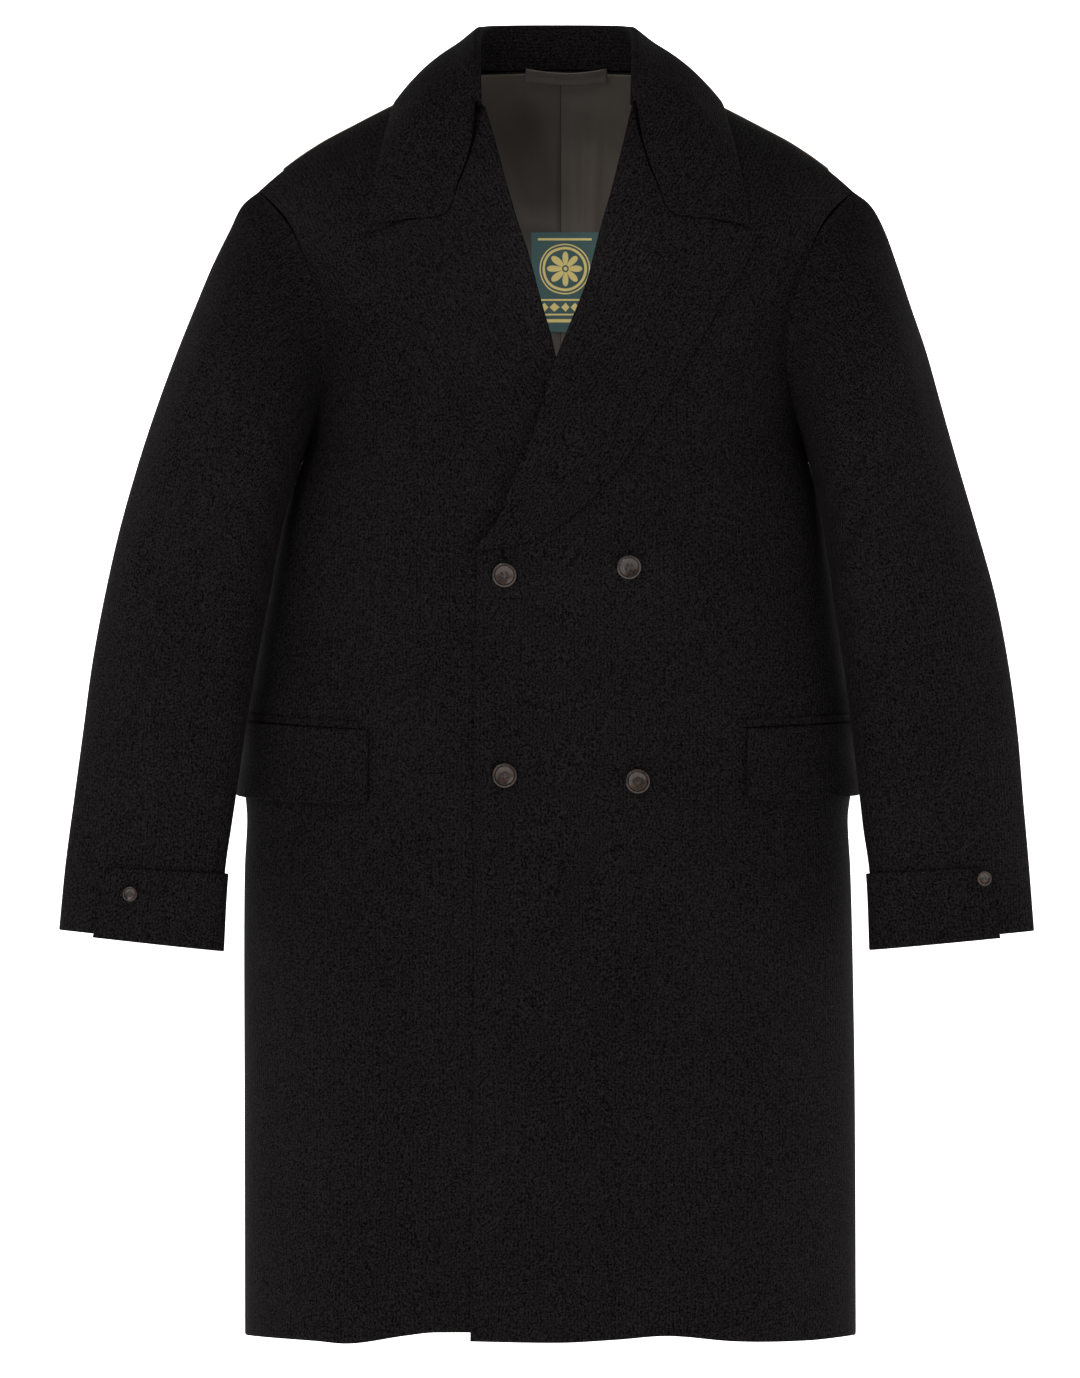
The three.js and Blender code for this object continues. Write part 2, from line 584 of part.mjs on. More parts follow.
// Sleeves: rings that start as the armhole and turn into ovals. The angle is 0 on the outer line,
// a quarter turn on the front and a half turn on the inner line.
const SLEEVE_END = 14; // ring of the sleeve's hem
const ARMHOLE_MID = (TIP_Z + UNDERARM_Z) / 2;
const ARMHOLE_HALF = (TIP_Z - UNDERARM_Z) / 2;
const FRONT_SPLIT = 11; // the seams of top and under sleeve, in steps of the angle
const BACK_SPLIT = 8;
const BLEND_RINGS = 4.5; // the armhole's form has faded at this ring
const ANGLE_STEP = Math.PI / FAN_ROWS;
const SLEEVES = { 1: SLEEVE_LEFT, [-1]: SLEEVE_RIGHT };
for (const rows of Object.values(SLEEVES)) rows.forEach((row, k) => (row.k = k));
const INNER_FORWARD = 22; // the inner line lies this much before the outer line, over the body's side
const FORWARD_RINGS = 3;
function oval(side, ring, angle) {
  const at = (column) => along(SLEEVES[side], "k", ring, column);
  const outer = V(side * at("ox"), at("y"), at("oz"));
  const inner = V(side * at("ix"), at("y") - INNER_FORWARD * step(0, FORWARD_RINGS, ring), at("iz"));
  const half = outer.clone().sub(inner).multiplyScalar(0.5);
  const deep = (-at("depth") / 2) * Math.sin(angle);
  return outer.add(inner).multiplyScalar(0.5).addScaledVector(half, Math.cos(angle)).add(V(0, deep, 0));
}
function faceOf(side, angle) {
  const facing = Math.sin(angle) >= 0 ? -1 : 1;
  const yAt = facing > 0 ? backY : side > 0 ? upperY : coveredY;
  return { facing, yAt };
}
function armhole(side, angle) {
  const z = ARMHOLE_MID + ARMHOLE_HALF * Math.cos(angle);
  const x = side * armholeX(z);
  const { facing, yAt } = faceOf(side, angle);
  return V(x, yAt(x, z) + (facing * SEAM_GAP) / 2, z);
}
function sleeveAt(side, ring, angle) {
  const share = 1 - step(0, BLEND_RINGS, ring);
  const p = oval(side, ring, angle);
  return share ? p.addScaledVector(armhole(side, angle).sub(oval(side, 0, angle)), share) : p;
}
function sleeveNormal(side, ring, angle) {
  const near = 0.02;
  const along0 = sleeveAt(side, Math.min(ring + near, SLEEVE_END + 1), angle);
  const along1 = sleeveAt(side, Math.max(ring - near, 0), angle);
  const round0 = sleeveAt(side, ring, angle + near);
  const round1 = sleeveAt(side, ring, angle - near);
  return round0.sub(round1).cross(along0.sub(along1)).normalize().multiplyScalar(side);
}
function sleevePoint(side, ring, angle, lift) {
  const n = sleeveNormal(side, ring, angle);
  const p = sleeveAt(side, ring, angle);
  if (ring > 0) return p.addScaledVector(n, lift);
  const turn = Math.abs(Math.atan2(Math.sin(angle), Math.cos(angle)));
  const lower = step(Math.PI / 3, (2 * Math.PI) / 3, turn);
  const { facing, yAt } = faceOf(side, angle);
  const body = normalOf(yAt, p.x, p.z, facing);
  const away = sleeveAt(side, 0.05, angle).sub(p).normalize();
  n.multiplyScalar(lower).addScaledVector(body, 1 - lower).normalize();
  p.addScaledVector(away, SEAM_GAP).add(V(side * SEAM_GAP * lower, 0, 0));
  return p.addScaledVector(n, lift);
}
const SLEEVE_RINGS = [0, 0.5, 1, 1.5, 2, 3, 4, 5, 6, 7, 8, 9, 10, 11, 12, 13, SLEEVE_END];
function sleevePiece(side, from, to) {
  const nudge = 0.004; // half the seam's gap, as an angle
  const angles = [];
  for (let j = from; j <= to; j += 1) angles.push(j * ANGLE_STEP);
  angles[0] += nudge;
  angles[angles.length - 1] -= nudge;
  const grid = (lift) =>
    SLEEVE_RINGS.map((ring) => angles.map((a) => sleevePoint(side, ring, a, lift)));
  return wall(grid(0), grid(-CLOTH));
}
const sideName = (side) => (side > 0 ? "left" : "right");
for (const side of [1, -1]) {
  add("sleeve_" + sideName(side) + "_top", sleevePiece(side, -BACK_SPLIT, FRONT_SPLIT), WOOL());
  const under = sleevePiece(side, FRONT_SPLIT, 2 * FAN_ROWS - BACK_SPLIT);
  add("sleeve_" + sideName(side) + "_under", under, WOOL());
}

// Cuff bands: from their free end on the front round the inner line to the seam at the back
const BAND_LIFT = 3.2;
const BAND_TOP = 13;
const BAND_LOW = 14.055;
const BAND_END = { top: 4.55, low: 4.05, corner: 0.22 }; // the free end, in steps of the angle
function cuffBand(side) {
  const rings = [0, 0.08, 0.35, 0.7].map((down) => BAND_TOP + down);
  rings.push(BAND_LOW);
  const grid = (lift) =>
    rings.map((ring, r) => {
      const down = (ring - BAND_TOP) / (BAND_LOW - BAND_TOP);
      const end = mix(BAND_END.top, BAND_END.low, down) + (r === 0 ? BAND_END.corner : 0);
      const steps = [end];
      for (let j = 5; j <= 2 * FAN_ROWS - BACK_SPLIT; j += 1) steps.push(j);
      return steps.map((j) => sleevePoint(side, ring, j * ANGLE_STEP, lift));
    });
  return wall(grid(BAND_LIFT), grid(BAND_LIFT - CLOTH));
}
for (const cuff of CUFFS) add("cuff_" + cuff.name, cuffBand(cuff.side), WOOL());

// Pocket flaps and jets, laid on the fronts
const frontOf = (side) => (side > 0 ? upperY : coveredY);
const POCKET_COLUMNS = 9;
function pocketPlaces(pocket, x0, topShift, deep, round) {
  const rows = [];
  for (const v of [0, 0.3, 0.6, 0.88, 1]) {
    const row = [];
    for (let c = 0; c <= POCKET_COLUMNS; c += 1) {
      const u = c / POCKET_COLUMNS;
      const top = mix(pocket.topIn, pocket.topOut, u) + topShift;
      const corner = v === 1 && (c === 0 || c === POCKET_COLUMNS) ? round : 0;
      const z = top - deep * v + corner;
      const outX = pocket.side * halfWidth(pocket.side, z) * 0.9995;
      const inX = x0 + (v === 1 ? pocket.side * round * 0.3 : 0);
      row.push({ x: mix(inX, outX, sideBias(u)), z, u, v });
    }
    rows.push(row);
  }
  return rows;
}
// A flap stands off more at its lower edge, and most at the side.
const FLAP_CORNER = 6;
const JET_LIFT = JET_CLOTH + 0.6;
const flapLift = (p) => FLAP_CLOTH + 1 + p.v * p.v * (2.6 + 2.6 * p.u);
for (const pocket of POCKETS) {
  const face = frontOf(pocket.side);
  const flap = pocketPlaces(pocket, pocket.x, 0, pocket.deep, FLAP_CORNER);
  const jetRows = pocketPlaces(pocket, pocket.jetX, JET_HIGH + 1, JET_HIGH, 0);
  const jet = [jetRows[0], jetRows[jetRows.length - 1]];
  add("flap_" + pocket.name, faceWall(flap, face, -1, FLAP_CLOTH, flapLift), WOOL());
  add("jet_" + pocket.name, faceWall(jet, face, -1, JET_CLOTH, () => JET_LIFT), WOOL());
}

// Lining, label and hanger loop inside the neck
const LINING_DEEP = CLOTH + 2.2;
const LINING_SHARE = 0.92; // the lining ends this share of the way to side and armhole
const LINING_BELOW = 1.8; // its top edge ends this far below the seams
const LINING_ROWS = 11;
const LINING_COLUMNS = 16;
function liningPlaces() {
  const rows = [];
  for (let r = 0; r <= LINING_ROWS; r += 1) {
    const t = Math.sin(((r / LINING_ROWS) * Math.PI) / 2);
    const row = [];
    for (let c = 0; c <= LINING_COLUMNS; c += 1) {
      const g = (2 * c) / LINING_COLUMNS - 1;
      const out = LINING_SHARE * armholeX(mix(LINING_LOW, TIP_Z, t));
      const topZ = backTopZ(LINING_SHARE * TIP_X * g) - LINING_BELOW;
      row.push({ x: out * g, z: mix(LINING_LOW, topZ, t) });
    }
    rows.push(row);
  }
  return rows;
}
const lining = faceWall(liningPlaces(), backY, 1, LINING_CLOTH, () => -LINING_DEEP);
add("back_lining", lining, SATIN());
function patch(x0, x1, top, low, columns, rowCount) {
  const rows = [];
  for (let r = 0; r <= rowCount; r += 1) {
    const z = mix(low, top, r / rowCount);
    const row = [];
    for (let c = 0; c <= columns; c += 1) {
      const u = c / columns;
      row.push({ x: mix(x0, x1, u), z, u });
    }
    rows.push(row);
  }
  return rows;
}
const LABEL_DEEP = LINING_DEEP + LINING_CLOTH + 0.5;
const label = patch(LABEL.x0, LABEL.x1, LABEL.top, LABEL.low, 5, 4);
add("label", faceWall(label, backY, 1, LABEL_CLOTH, () => -LABEL_DEEP), WOVEN());
const LOOP_CLEAR = 1.2;
const LOOP_CLOTH = 1.4;
const loopDeep = (p) => -(LABEL_DEEP + LOOP_CLEAR + LOOP.bulge * Math.sin(Math.PI * p.u));
const loop = patch(LOOP.x0, LOOP.x1, LOOP.top, LOOP.low, 8, 2);
add("hanger_loop", faceWall(loop, backY, 1, LOOP_CLOTH, loopDeep), SATIN());

// Buttons: dished face with a rim, four holes and a thread shank
const wasm = await Module();
wasm.setup();
function buttonSolid(radius, thick, shank) {
  const profile = [
    [0, -shank],
    [1.5, -shank],
    [1.5, 0],
    [radius - 1.2, 0],
    [radius, thick * 0.4],
    [radius, thick * 0.7],
    [radius * 0.93, thick],
    [radius * 0.8, thick],
    [radius * 0.7, thick * 0.78],
    [0, thick * 0.66],
  ];
  const disc = wasm.CrossSection.ofPolygons([profile]).revolve(16);
  const hole = wasm.Manifold.cylinder(thick + 2, radius * 0.09, radius * 0.09, 6);
  const at = radius * 0.19;
  let solid = disc;
  for (const [x, y] of [[at, at], [-at, at], [-at, -at], [at, -at]])
    solid = solid.subtract(hole.translate([x, y, 0.6]));
  const mesh = solid.getMesh();
  const geometry = new THREE.BufferGeometry();
  const points = [];
  for (let i = 0; i < mesh.numVert; i += 1) {
    const first = i * mesh.numProp;
    points.push(...mesh.vertProperties.subarray(first, first + 3));
  }
  geometry.setAttribute("position", new THREE.Float32BufferAttribute(points, 3));
  geometry.setIndex([...mesh.triVerts]);
  geometry.computeVertexNormals();
  return geometry;
}
function seat(geometry, place, normal, high) {
  const turn = new THREE.Quaternion().setFromUnitVectors(V(0, 0, 1), normal);
  const at = place.clone().addScaledVector(normal, high);
  return geometry.applyMatrix4(new THREE.Matrix4().compose(at, turn, V(1, 1, 1)));
}
const SHANK = 1.6;
const SHANK_GAP = 0.35;
FRONT_BUTTONS.forEach((b, i) => {
  const place = V(b.x, upperY(b.x, b.z), b.z);
  const n = normalOf(upperY, b.x, b.z, -1);
  const solid = buttonSolid(BUTTON_R, BUTTON_THICK, SHANK);
  add("button_" + (i + 1), seat(solid, place, n, SHANK + SHANK_GAP), HORN());
});
// Ring and angle of the sleeve at a place seen from the front
function sleeveSpot(side, x, z) {
  let ring = 13.4;
  let angle = 1;
  for (let i = 0; i < 12; i += 1) {
    const p = sleeveAt(side, ring, angle);
    const a = sleeveAt(side, ring + 0.01, angle).sub(p).multiplyScalar(100);
    const b = sleeveAt(side, ring, angle + 0.01).sub(p).multiplyScalar(100);
    const det = a.x * b.z - a.z * b.x;
    ring += ((x - p.x) * b.z - (z - p.z) * b.x) / det;
    angle += (a.x * (z - p.z) - a.z * (x - p.x)) / det;
  }
  return { ring, angle };
}
for (const cuff of CUFFS) {
  const { ring, angle } = sleeveSpot(cuff.side, cuff.x, cuff.z);
  const place = sleevePoint(cuff.side, ring, angle, BAND_LIFT);
  const n = sleeveNormal(cuff.side, ring, angle);
  const small = buttonSolid(CUFF_BUTTON_R, CUFF_BUTTON_THICK, SHANK);
  add("cuff_button_" + cuff.name, seat(small, place, n, SHANK + SHANK_GAP), HORN());
}

export { group as default };
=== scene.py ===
import math

import bmesh
import bpy
import numpy as np
from mathutils import Matrix, Vector


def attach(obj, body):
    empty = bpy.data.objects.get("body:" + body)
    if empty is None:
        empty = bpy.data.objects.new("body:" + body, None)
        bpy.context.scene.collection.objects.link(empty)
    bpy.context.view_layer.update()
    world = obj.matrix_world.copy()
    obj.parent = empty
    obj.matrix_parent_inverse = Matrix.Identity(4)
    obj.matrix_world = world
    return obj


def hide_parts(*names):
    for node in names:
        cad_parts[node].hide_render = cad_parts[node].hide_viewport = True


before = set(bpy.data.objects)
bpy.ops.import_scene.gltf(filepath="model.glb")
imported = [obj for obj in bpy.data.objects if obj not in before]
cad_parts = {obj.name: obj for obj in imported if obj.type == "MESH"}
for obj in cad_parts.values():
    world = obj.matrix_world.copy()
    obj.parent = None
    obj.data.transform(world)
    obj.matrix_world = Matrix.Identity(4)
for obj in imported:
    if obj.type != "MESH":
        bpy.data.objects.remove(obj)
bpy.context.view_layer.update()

# Sizes in millimetres, as the solids are built; the meshes are written in metres.
M = 0.001
CLOTH = 2.2
LAPEL_CLOTH = 2.6
SEAM_GAP = 0.3
SEWN_GAP = -0.1  # at the armhole, where the sleeve is sewn in
UNDERARM_PRESS = 0.8
HEM_Z = -1112
UNDERARM_Z = -323
TIP_Z = -103
TIP_X = 262
BREAK_Z = -419
NECK_X = 80
NECK_Z = 2
BACK_NECK_Z = 5
GORGE_X = 66
GORGE_Z = -33
SECTION_POWER = 2.3
FRONT_ROUND = 100
BACK_ROUND = 90
OVERLAP_LIFT = 3.9
LAPEL_LIFT = 4.0
LOW_ROWS = 15
FAN_ROWS = 13
FOLD_TOP = -640
COLLAR_MID = 2
COLLAR_ROLL_R = 4.6
SLEEVE_END = 14
ARMHOLE_MID = (TIP_Z + UNDERARM_Z) / 2
ARMHOLE_HALF = (TIP_Z - UNDERARM_Z) / 2
FRONT_SPLIT = 11
BACK_SPLIT = 8
BLEND_RINGS = 4.5
INNER_FORWARD = 22
FORWARD_RINGS = 3
ANGLE_STEP = math.pi / FAN_ROWS
BAND_LIFT = 3.2
FLAP_CLOTH = 2.8
JET_CLOTH = 1.3
JET_HIGH = 6.5
LINING_LOW = -300
LINING_DEEP = CLOTH + 2.2
LINING_CLOTH = 1.0
LINING_SHARE = 0.92
LABEL_CLOTH = 0.6
LABEL_DEEP = LINING_DEEP + LINING_CLOTH + 0.5
LABEL = dict(x0=-22, x1=38, top=-136, low=-225)
LOOP = dict(x0=-28.5, x1=47.5, top=12.5, low=1, bulge=5, clear=1.2, cloth=1.4)
SHANK = 1.6
SHANK_GAP = 0.35


def columns(names, values):
    data = np.array(values, float)
    return {n: data[:, i] for i, n in enumerate(names.split())}


# Body: half widths left and right, depth of front and back, and where the side seam lies
BODY = columns("z left right front back mid", [
    (-1125, 274.6, 265, 136, 112, 18),
    (-900, 275, 264, 134, 110, 18),
    (-772, 275.4, 262, 134, 107, 19),
    (-700, 274.8, 260, 135, 106.5, 20),
    (-657, 272.8, 257.8, 135, 106, 20),
    (-624, 275, 261.2, 135, 105.5, 20),
    (-596, 273.8, 260, 135, 105, 20),
    (-560, 274.4, 262.4, 136, 105, 20),
    (-531, 268.5, 257.2, 137, 104, 20),
    (-489, 261, 251, 137.5, 104, 19),
    (-450, 253.4, 245.2, 138.5, 104, 18),
    (-421, 247.8, 241, 138, 105, 17),
    (-397, 242.6, 237.2, 137, 107.5, 15),
    (-376, 236.8, 233, 135, 110, 13),
    (-358, 231, 228.6, 133, 112.5, 11),
    (-343, 224.4, 223.2, 131, 115, 9),
    (-333, 220.8, 220.2, 130.5, 115.5, 8.5),
    (-327, 218.4, 218.2, 130.2, 115.8, 8.2),
    (-323, 217, 217, 130, 116, 8),
    (-243, 224, 223, 125, 117, 5),
    (-202, 236, 234, 120, 115, 3),
    (-160, 248, 246, 112, 111, 1),
    (-103, 268, 268, 96, 104, 0),
    (40, 290, 290, 62, 74, 0),
])
# Height of the shoulder seam over the distance from the middle
SHOULDER = columns("x z", [
    (0, 30),
    (40, 20),
    (80, 2),
    (143, -28),
    (182, -48),
    (208, -62),
    (236, -81),
    (262, -103),
    (300, -140),
])
# Armhole: distance of its line from the middle
ARMHOLE = columns("z x", [
    (-323, 217),
    (-290, 208.5),
    (-243, 203),
    (-202, 208),
    (-166, 221),
    (-134, 236),
    (-103, 262),
])
# Soft folds of the skirt, how far they stand out at the hem
FOLDS = columns("x out", [
    (-272, 0),
    (-186, 6),
    (-111, -7),
    (-23, 5),
    (50, 1),
    (109, -7),
    (197, 5),
    (250, 0),
])
# the folds have faded at this height
HEM_UPPER = columns("x z", [
    (-76, -1114.5),
    (0, -1115.5),
    (52, -1113),
    (96, -1110),
    (158, -1115),
    (220, -1115),
    (262, -1112),
])
HEM_COVERED = columns("x z", [
    (-272, -1112),
    (-212, -1115),
    (-186, -1117),
    (-133, -1110),
    (-106, -1107),
    (89, -1107),
])
# Front edge of the upper front, then its roll line up to the gorge
UPPER_EDGE = columns("z x", [
    (-1125, -75.7),
    (-800, -72),
    (-419, -68.6),
    (-401, -53.7),
    (-378, -43),
    (-353, -34),
    (-331, -22.9),
    (-297.4, -12.3),
    (-252.6, 0.9),
    (-188.3, 25.5),
    (-150.5, 36.1),
    (-112.6, 47.5),
    (-77.4, 56.3),
    (-33, 66),
])
COVERED_EDGE = columns("z x", [
    (-1125, 89),
    (-440, 89),
    (-419, 76),
    (-378, 50),
    (-331, 27),
    (-297.4, 13),
    (-251.7, -0.9),
    (-235.8, -4.4),
    (-200.6, -14.5),
    (-162.8, -24.6),
    (-132.9, -34.8),
    (-97.7, -44.9),
    (-66.9, -52.8),
    (-33, -62),
])
# Outer edges of the lapels from the break to the peak, and their top edges out to the peak
LEFT_LAPEL_EDGE = columns("t x z", [
    (0, -73, -422),
    (0.08, -22.9, -411.8),
    (0.16, 5.3, -396),
    (0.27, 37.8, -367.8),
    (0.42, 77.4, -315),
    (0.57, 103.8, -273.7),
    (0.68, 118.8, -247.3),
    (0.87, 152.2, -190),
    (0.96, 168, -162.8),
    (1, 176, -140.8),
])
LEFT_LAPEL_TOP = columns("u x z", [
    (0, 66, -34),
    (0.2, 79, -76),
    (0.38, 89.5, -100),
    (0.55, 101.2, -124.5),
    (0.78, 137, -130.6),
    (1, 176, -140.8),
])
RIGHT_LAPEL_EDGE = columns("t x z", [
    (0, 80, -422),
    (0.08, 29.9, -411.8),
    (0.16, 1.8, -396),
    (0.27, -43, -367.8),
    (0.42, -66.9, -330.9),
    (0.57, -93.3, -273.7),
    (0.68, -106, -253),
    (0.87, -148.7, -181.3),
    (0.96, -162, -158),
    (1, -167.2, -145.2),
])
RIGHT_LAPEL_TOP = columns("u x z", [
    (0, -62, -34),
    (0.2, -77.4, -78.5),
    (0.38, -88, -103.1),
    (0.55, -96.8, -125.4),
    (0.78, -130, -131.4),
    (1, -167.2, -145.2),
])
# Sleeves: outer line (o) and inner line (i) of each ring, its depth and the middle of the depth
SLEEVE_LEFT = columns("oz ox iz ix depth y", [
    (-103, 262, -323, 217, 230, 0),
    (-116, 278, -331, 220, 222, -1),
    (-138, 290, -343, 223.6, 205, -4),
    (-170, 301.5, -358, 227.8, 184, -8),
    (-205, 313, -376, 231, 164, -13),
    (-245, 326.5, -397, 234.5, 148, -18),
    (-290, 339, -421, 238, 136, -23),
    (-340, 353, -450, 242, 126, -27),
    (-400, 370.5, -489, 247.5, 116, -31),
    (-460, 387, -531, 254, 107, -35),
    (-520, 398.5, -575, 259.5, 98, -38),
    (-580, 406.5, -621, 265, 86, -41),
    (-640, 411.5, -665, 270, 73, -43),
    (-697, 416.5, -704, 275.5, 61, -44),
    (-755, 421, -768, 279, 54, -45),
    (-813, 425.5, -832, 282.5, 48, -46),
])
SLEEVE_RIGHT = columns("oz ox iz ix depth y", [
    (-103, 262, -323, 217, 230, 0),
    (-116, 277, -331, 220.4, 222, -1),
    (-138, 288, -343, 224.8, 205, -4),
    (-170, 303.5, -358, 229.5, 184, -8),
    (-205, 318, -376, 234.5, 164, -13),
    (-245, 334, -397, 240, 148, -18),
    (-290, 350.5, -421, 245, 136, -23),
    (-340, 367, -450, 250, 126, -27),
    (-400, 384, -489, 257.5, 116, -31),
    (-460, 397.5, -531, 265, 107, -35),
    (-520, 408.5, -575, 272.5, 98, -38),
    (-580, 416.5, -621, 279, 86, -41),
    (-640, 424.5, -665, 285.5, 73, -43),
    (-697, 432, -704, 291, 61, -44),
    (-754, 437.5, -769, 295.5, 54, -45),
    (-811, 443, -834, 300, 48, -46),
])
# Collar stations from the middle of the back to the gorge: neck seam n, top of the roll r, fall edge e
COLLAR = columns("nx ny nz rx ry rz ex ez side", [
    (0, 58, 5.9, 0, 70, 45.4, 0, -48, 1),
    (38, 48, 4.8, 37, 62, 45, 60, -49, 1),
    (66, 26, 4.2, 61, 38, 43.6, 112, -40, 1),
    (78, 0, 5.5, 70, 2, 39.6, 141, -21, 0),
    (72.4, -44, -12.8, 71, -42, 20, 150, -54, -1),
    (69.5, -57, -22.5, 70, -68, -8, 160, -95, -1),
])
FRONT_BUTTONS = columns("x z", [
    (-44.9, -441.8),
    (63.4, -434.7),
    (-44.9, -617.8),
    (71.3, -623),
])
FALL_PARTS = (0.15, 0.35, 0.55, 0.78, 1.0)
COLLAR_END = dict(u=0.55, apart=0.35, tip_x=166, tip_z=-134)
POCKETS = columns("side x jet in_z out_z deep", [
    (-1, -164.6, -173, -578, -569, 66),
    (1, 167, 160, -576.5, -570, 64),
])
CUFFS = columns("side x z", [
    (-1, -372.7, -722),
    (1, 374, -708.4),
])
for sleeve in (SLEEVE_LEFT, SLEEVE_RIGHT):
    sleeve["k"] = np.arange(len(sleeve["oz"]), dtype=float)


def along(table, key, at, column):
    """Smooth value of a table's column at places along its key column."""
    k, v = table[key], table[column]
    if k[-1] < k[0]:
        k, v = k[::-1], v[::-1]
    at = np.clip(np.asarray(at, float), k[0], k[-1])
    i = np.clip(np.searchsorted(k, at, side="right") - 1, 0, len(k) - 2)
    kb, ka = np.concatenate([k[:1], k[:-1]]), np.concatenate([k[1:], k[-1:]])
    vb, va = np.concatenate([v[:1], v[:-1]]), np.concatenate([v[1:], v[-1:]])
    slope = (va - vb) / (ka - kb)
    turn = (va - v) * (v - vb) < 0
    slope[turn] = 0
    span = k[i + 1] - k[i]
    t = (at - k[i]) / span
    a, b = v[i], v[i + 1]
    blend = t * t * (3 - 2 * t)
    return a + (b - a) * blend + span * (slope[i] * t * (1 - t) ** 2 - slope[i + 1] * t * t * (1 - t))


def mix(a, b, t):
    return a + (b - a) * t


def step(a, b, v):
    t = np.clip((np.asarray(v, float) - a) / (b - a), 0, 1)
    return t * t * (3 - 2 * t)


def xyz(x, y, z):
    x, y, z = np.broadcast_arrays(np.asarray(x, float), y, z)
    return np.stack([x, y, z], axis=-1)


def unit(v):
    return v / np.maximum(np.linalg.norm(v, axis=-1, keepdims=True), 1e-9)


def shoulder_z(x):
    return along(SHOULDER, "x", np.abs(x), "z")


def half_width(x, z):
    return np.where(np.asarray(x) < 0, along(BODY, "z", z, "left"), along(BODY, "z", z, "right"))


def armhole_x(z):
    return along(ARMHOLE, "z", z, "x")


def bulge(x, z, round_h):
    across = np.minimum(np.abs(x) / half_width(x, z), 1)
    below = np.clip((shoulder_z(x) - z) / round_h, 0, 1)
    section = np.maximum(1 - across**SECTION_POWER, 0) ** (1 / SECTION_POWER)
    return section * np.sqrt(1 - (1 - below) ** 2)


def ridges(table, x, z):
    """Sum of soft creases, each from (x0, z0) to (x1, z1), so wide, so high; below zero is a trough."""
    total = np.zeros(np.broadcast(x, z).shape)
    for x0, z0, x1, z1, wide, high in table:
        dx, dz = x1 - x0, z1 - z0
        length = math.hypot(dx, dz)
        t = ((x - x0) * dx + (z - z0) * dz) / length**2
        away = ((x - x0) * dz - (z - z0) * dx) / length
        ends = np.exp(-np.maximum(np.abs(t - 0.5) - 0.3, 0) ** 2 * 18)
        total = total + high * np.exp(-((away / wide) ** 2)) * ends
    return total


# Creases listed on the fronts: x0, z0, x1, z1, width, height
FRONT_CREASES = [
    (-205, -300, -150, -430, 14, -1.6),
    (-196, -330, -120, -470, 10, 1.1),
    (206, -300, 160, -440, 15, -1.7),
    (190, -340, 140, -480, 11, 1.0),
    (-60, -450, 58, -436, 9, 0.9),
    (-52, -470, 60, -462, 12, -0.9),
    (-50, -628, 66, -640, 13, -0.8),
    (75, -455, 150, -520, 16, -0.9),
    (-180, -560, -100, -540, 16, 0.8),
    (170, -560, 110, -545, 16, 0.8),
    (-150, -660, -165, -900, 26, 1.8),
    (130, -650, 150, -860, 28, 1.6),
    (20, -690, 34, -1000, 30, -1.4),
    (225, -650, 236, -1000, 20, -1.5),
    (-235, -650, -246, -1010, 20, -1.5),
    (-220, -170, -205, -250, 8, -1.4),
    (224, -175, 208, -255, 8, -1.4),
    (150, -60, 215, -120, 16, 0.9),
    (-150, -60, -215, -120, 16, 0.9),
]
BACK_CREASES = [
    (-150, -150, 150, -160, 24, 1.4),
    (-180, -230, -60, -215, 16, -1.5),
    (185, -235, 70, -220, 16, -1.4),
    (-205, -290, -120, -400, 16, -1.8),
    (205, -295, 130, -410, 16, -1.7),
    (-120, -520, 90, -540, 26, 1.3),
    (-90, -600, 120, -590, 20, -1.2),
    (-160, -640, -178, -1090, 34, 4.0),
    (-70, -660, -60, -1100, 30, -4.2),
    (60, -650, 78, -1100, 32, 3.6),
    (150, -660, 165, -1100, 30, -3.6),
    (0, -60, 4, -700, 7, -0.7),
]


def fold_out(x, z):
    return along(FOLDS, "x", x, "out") * step(FOLD_TOP, HEM_Z, z) ** 1.3


def away_from_seams(x, z):
    inside = 1 - (np.abs(x) / np.minimum(half_width(x, z), 400)) ** 8
    return np.clip(inside, 0, 1) * step(2, 40, shoulder_z(x) - z)


def covered_y(x, z):
    base = along(BODY, "z", z, "mid") - along(BODY, "z", z, "front") * bulge(x, z, FRONT_ROUND)
    return base - fold_out(x, z) - ridges(FRONT_CREASES, x, z) * away_from_seams(x, z)


def back_y(x, z):
    base = along(BODY, "z", z, "mid") + along(BODY, "z", z, "back") * bulge(x, z, BACK_ROUND)
    return base + ridges(BACK_CREASES, x, z) * away_from_seams(x, z)


def covered_edge(z):
    return along(COVERED_EDGE, "z", z, "x")


def upper_edge(z):
    return along(UPPER_EDGE, "z", z, "x")


def upper_y(x, z):
    high = OVERLAP_LIFT * (1 + 1.25 * step(-470, -425, z))
    edge = covered_edge(z)
    return covered_y(x, z) - high * (1 - step(edge + 2, edge + 75, x))


def normal_of(y_at, x, z, facing):
    x, z = np.broadcast_arrays(np.asarray(x, float), np.asarray(z, float))
    in_x = np.where(x > 0, -0.05, 0.05)
    here = y_at(x, z)
    dx = (y_at(x + in_x, z) - here) / in_x
    dz = (y_at(x, z - 0.05) - here) / -0.05
    return unit(xyz(-dx * facing, facing, -dz * facing))


def on_face(y_at, x, z, facing, lift=0.0):
    n = normal_of(y_at, x, z, facing)
    return xyz(x, y_at(x, z), z) + n * np.asarray(lift, float)[..., None], n


def edged(count, fine, length):
    """Places from 0 to 1 with a few close to both ends, for a rounded edge; fine is the edge's depth."""
    e = fine / length
    middle = np.linspace(e * 2.2, 1 - e * 2.2, count)
    return np.concatenate([[0, e * 0.35, e], middle, [1 - e, 1 - e * 0.35, 1]])


FREE, SEWN = (0.15, 0.72, 0.96), (0.8, 0.95, 1.0)


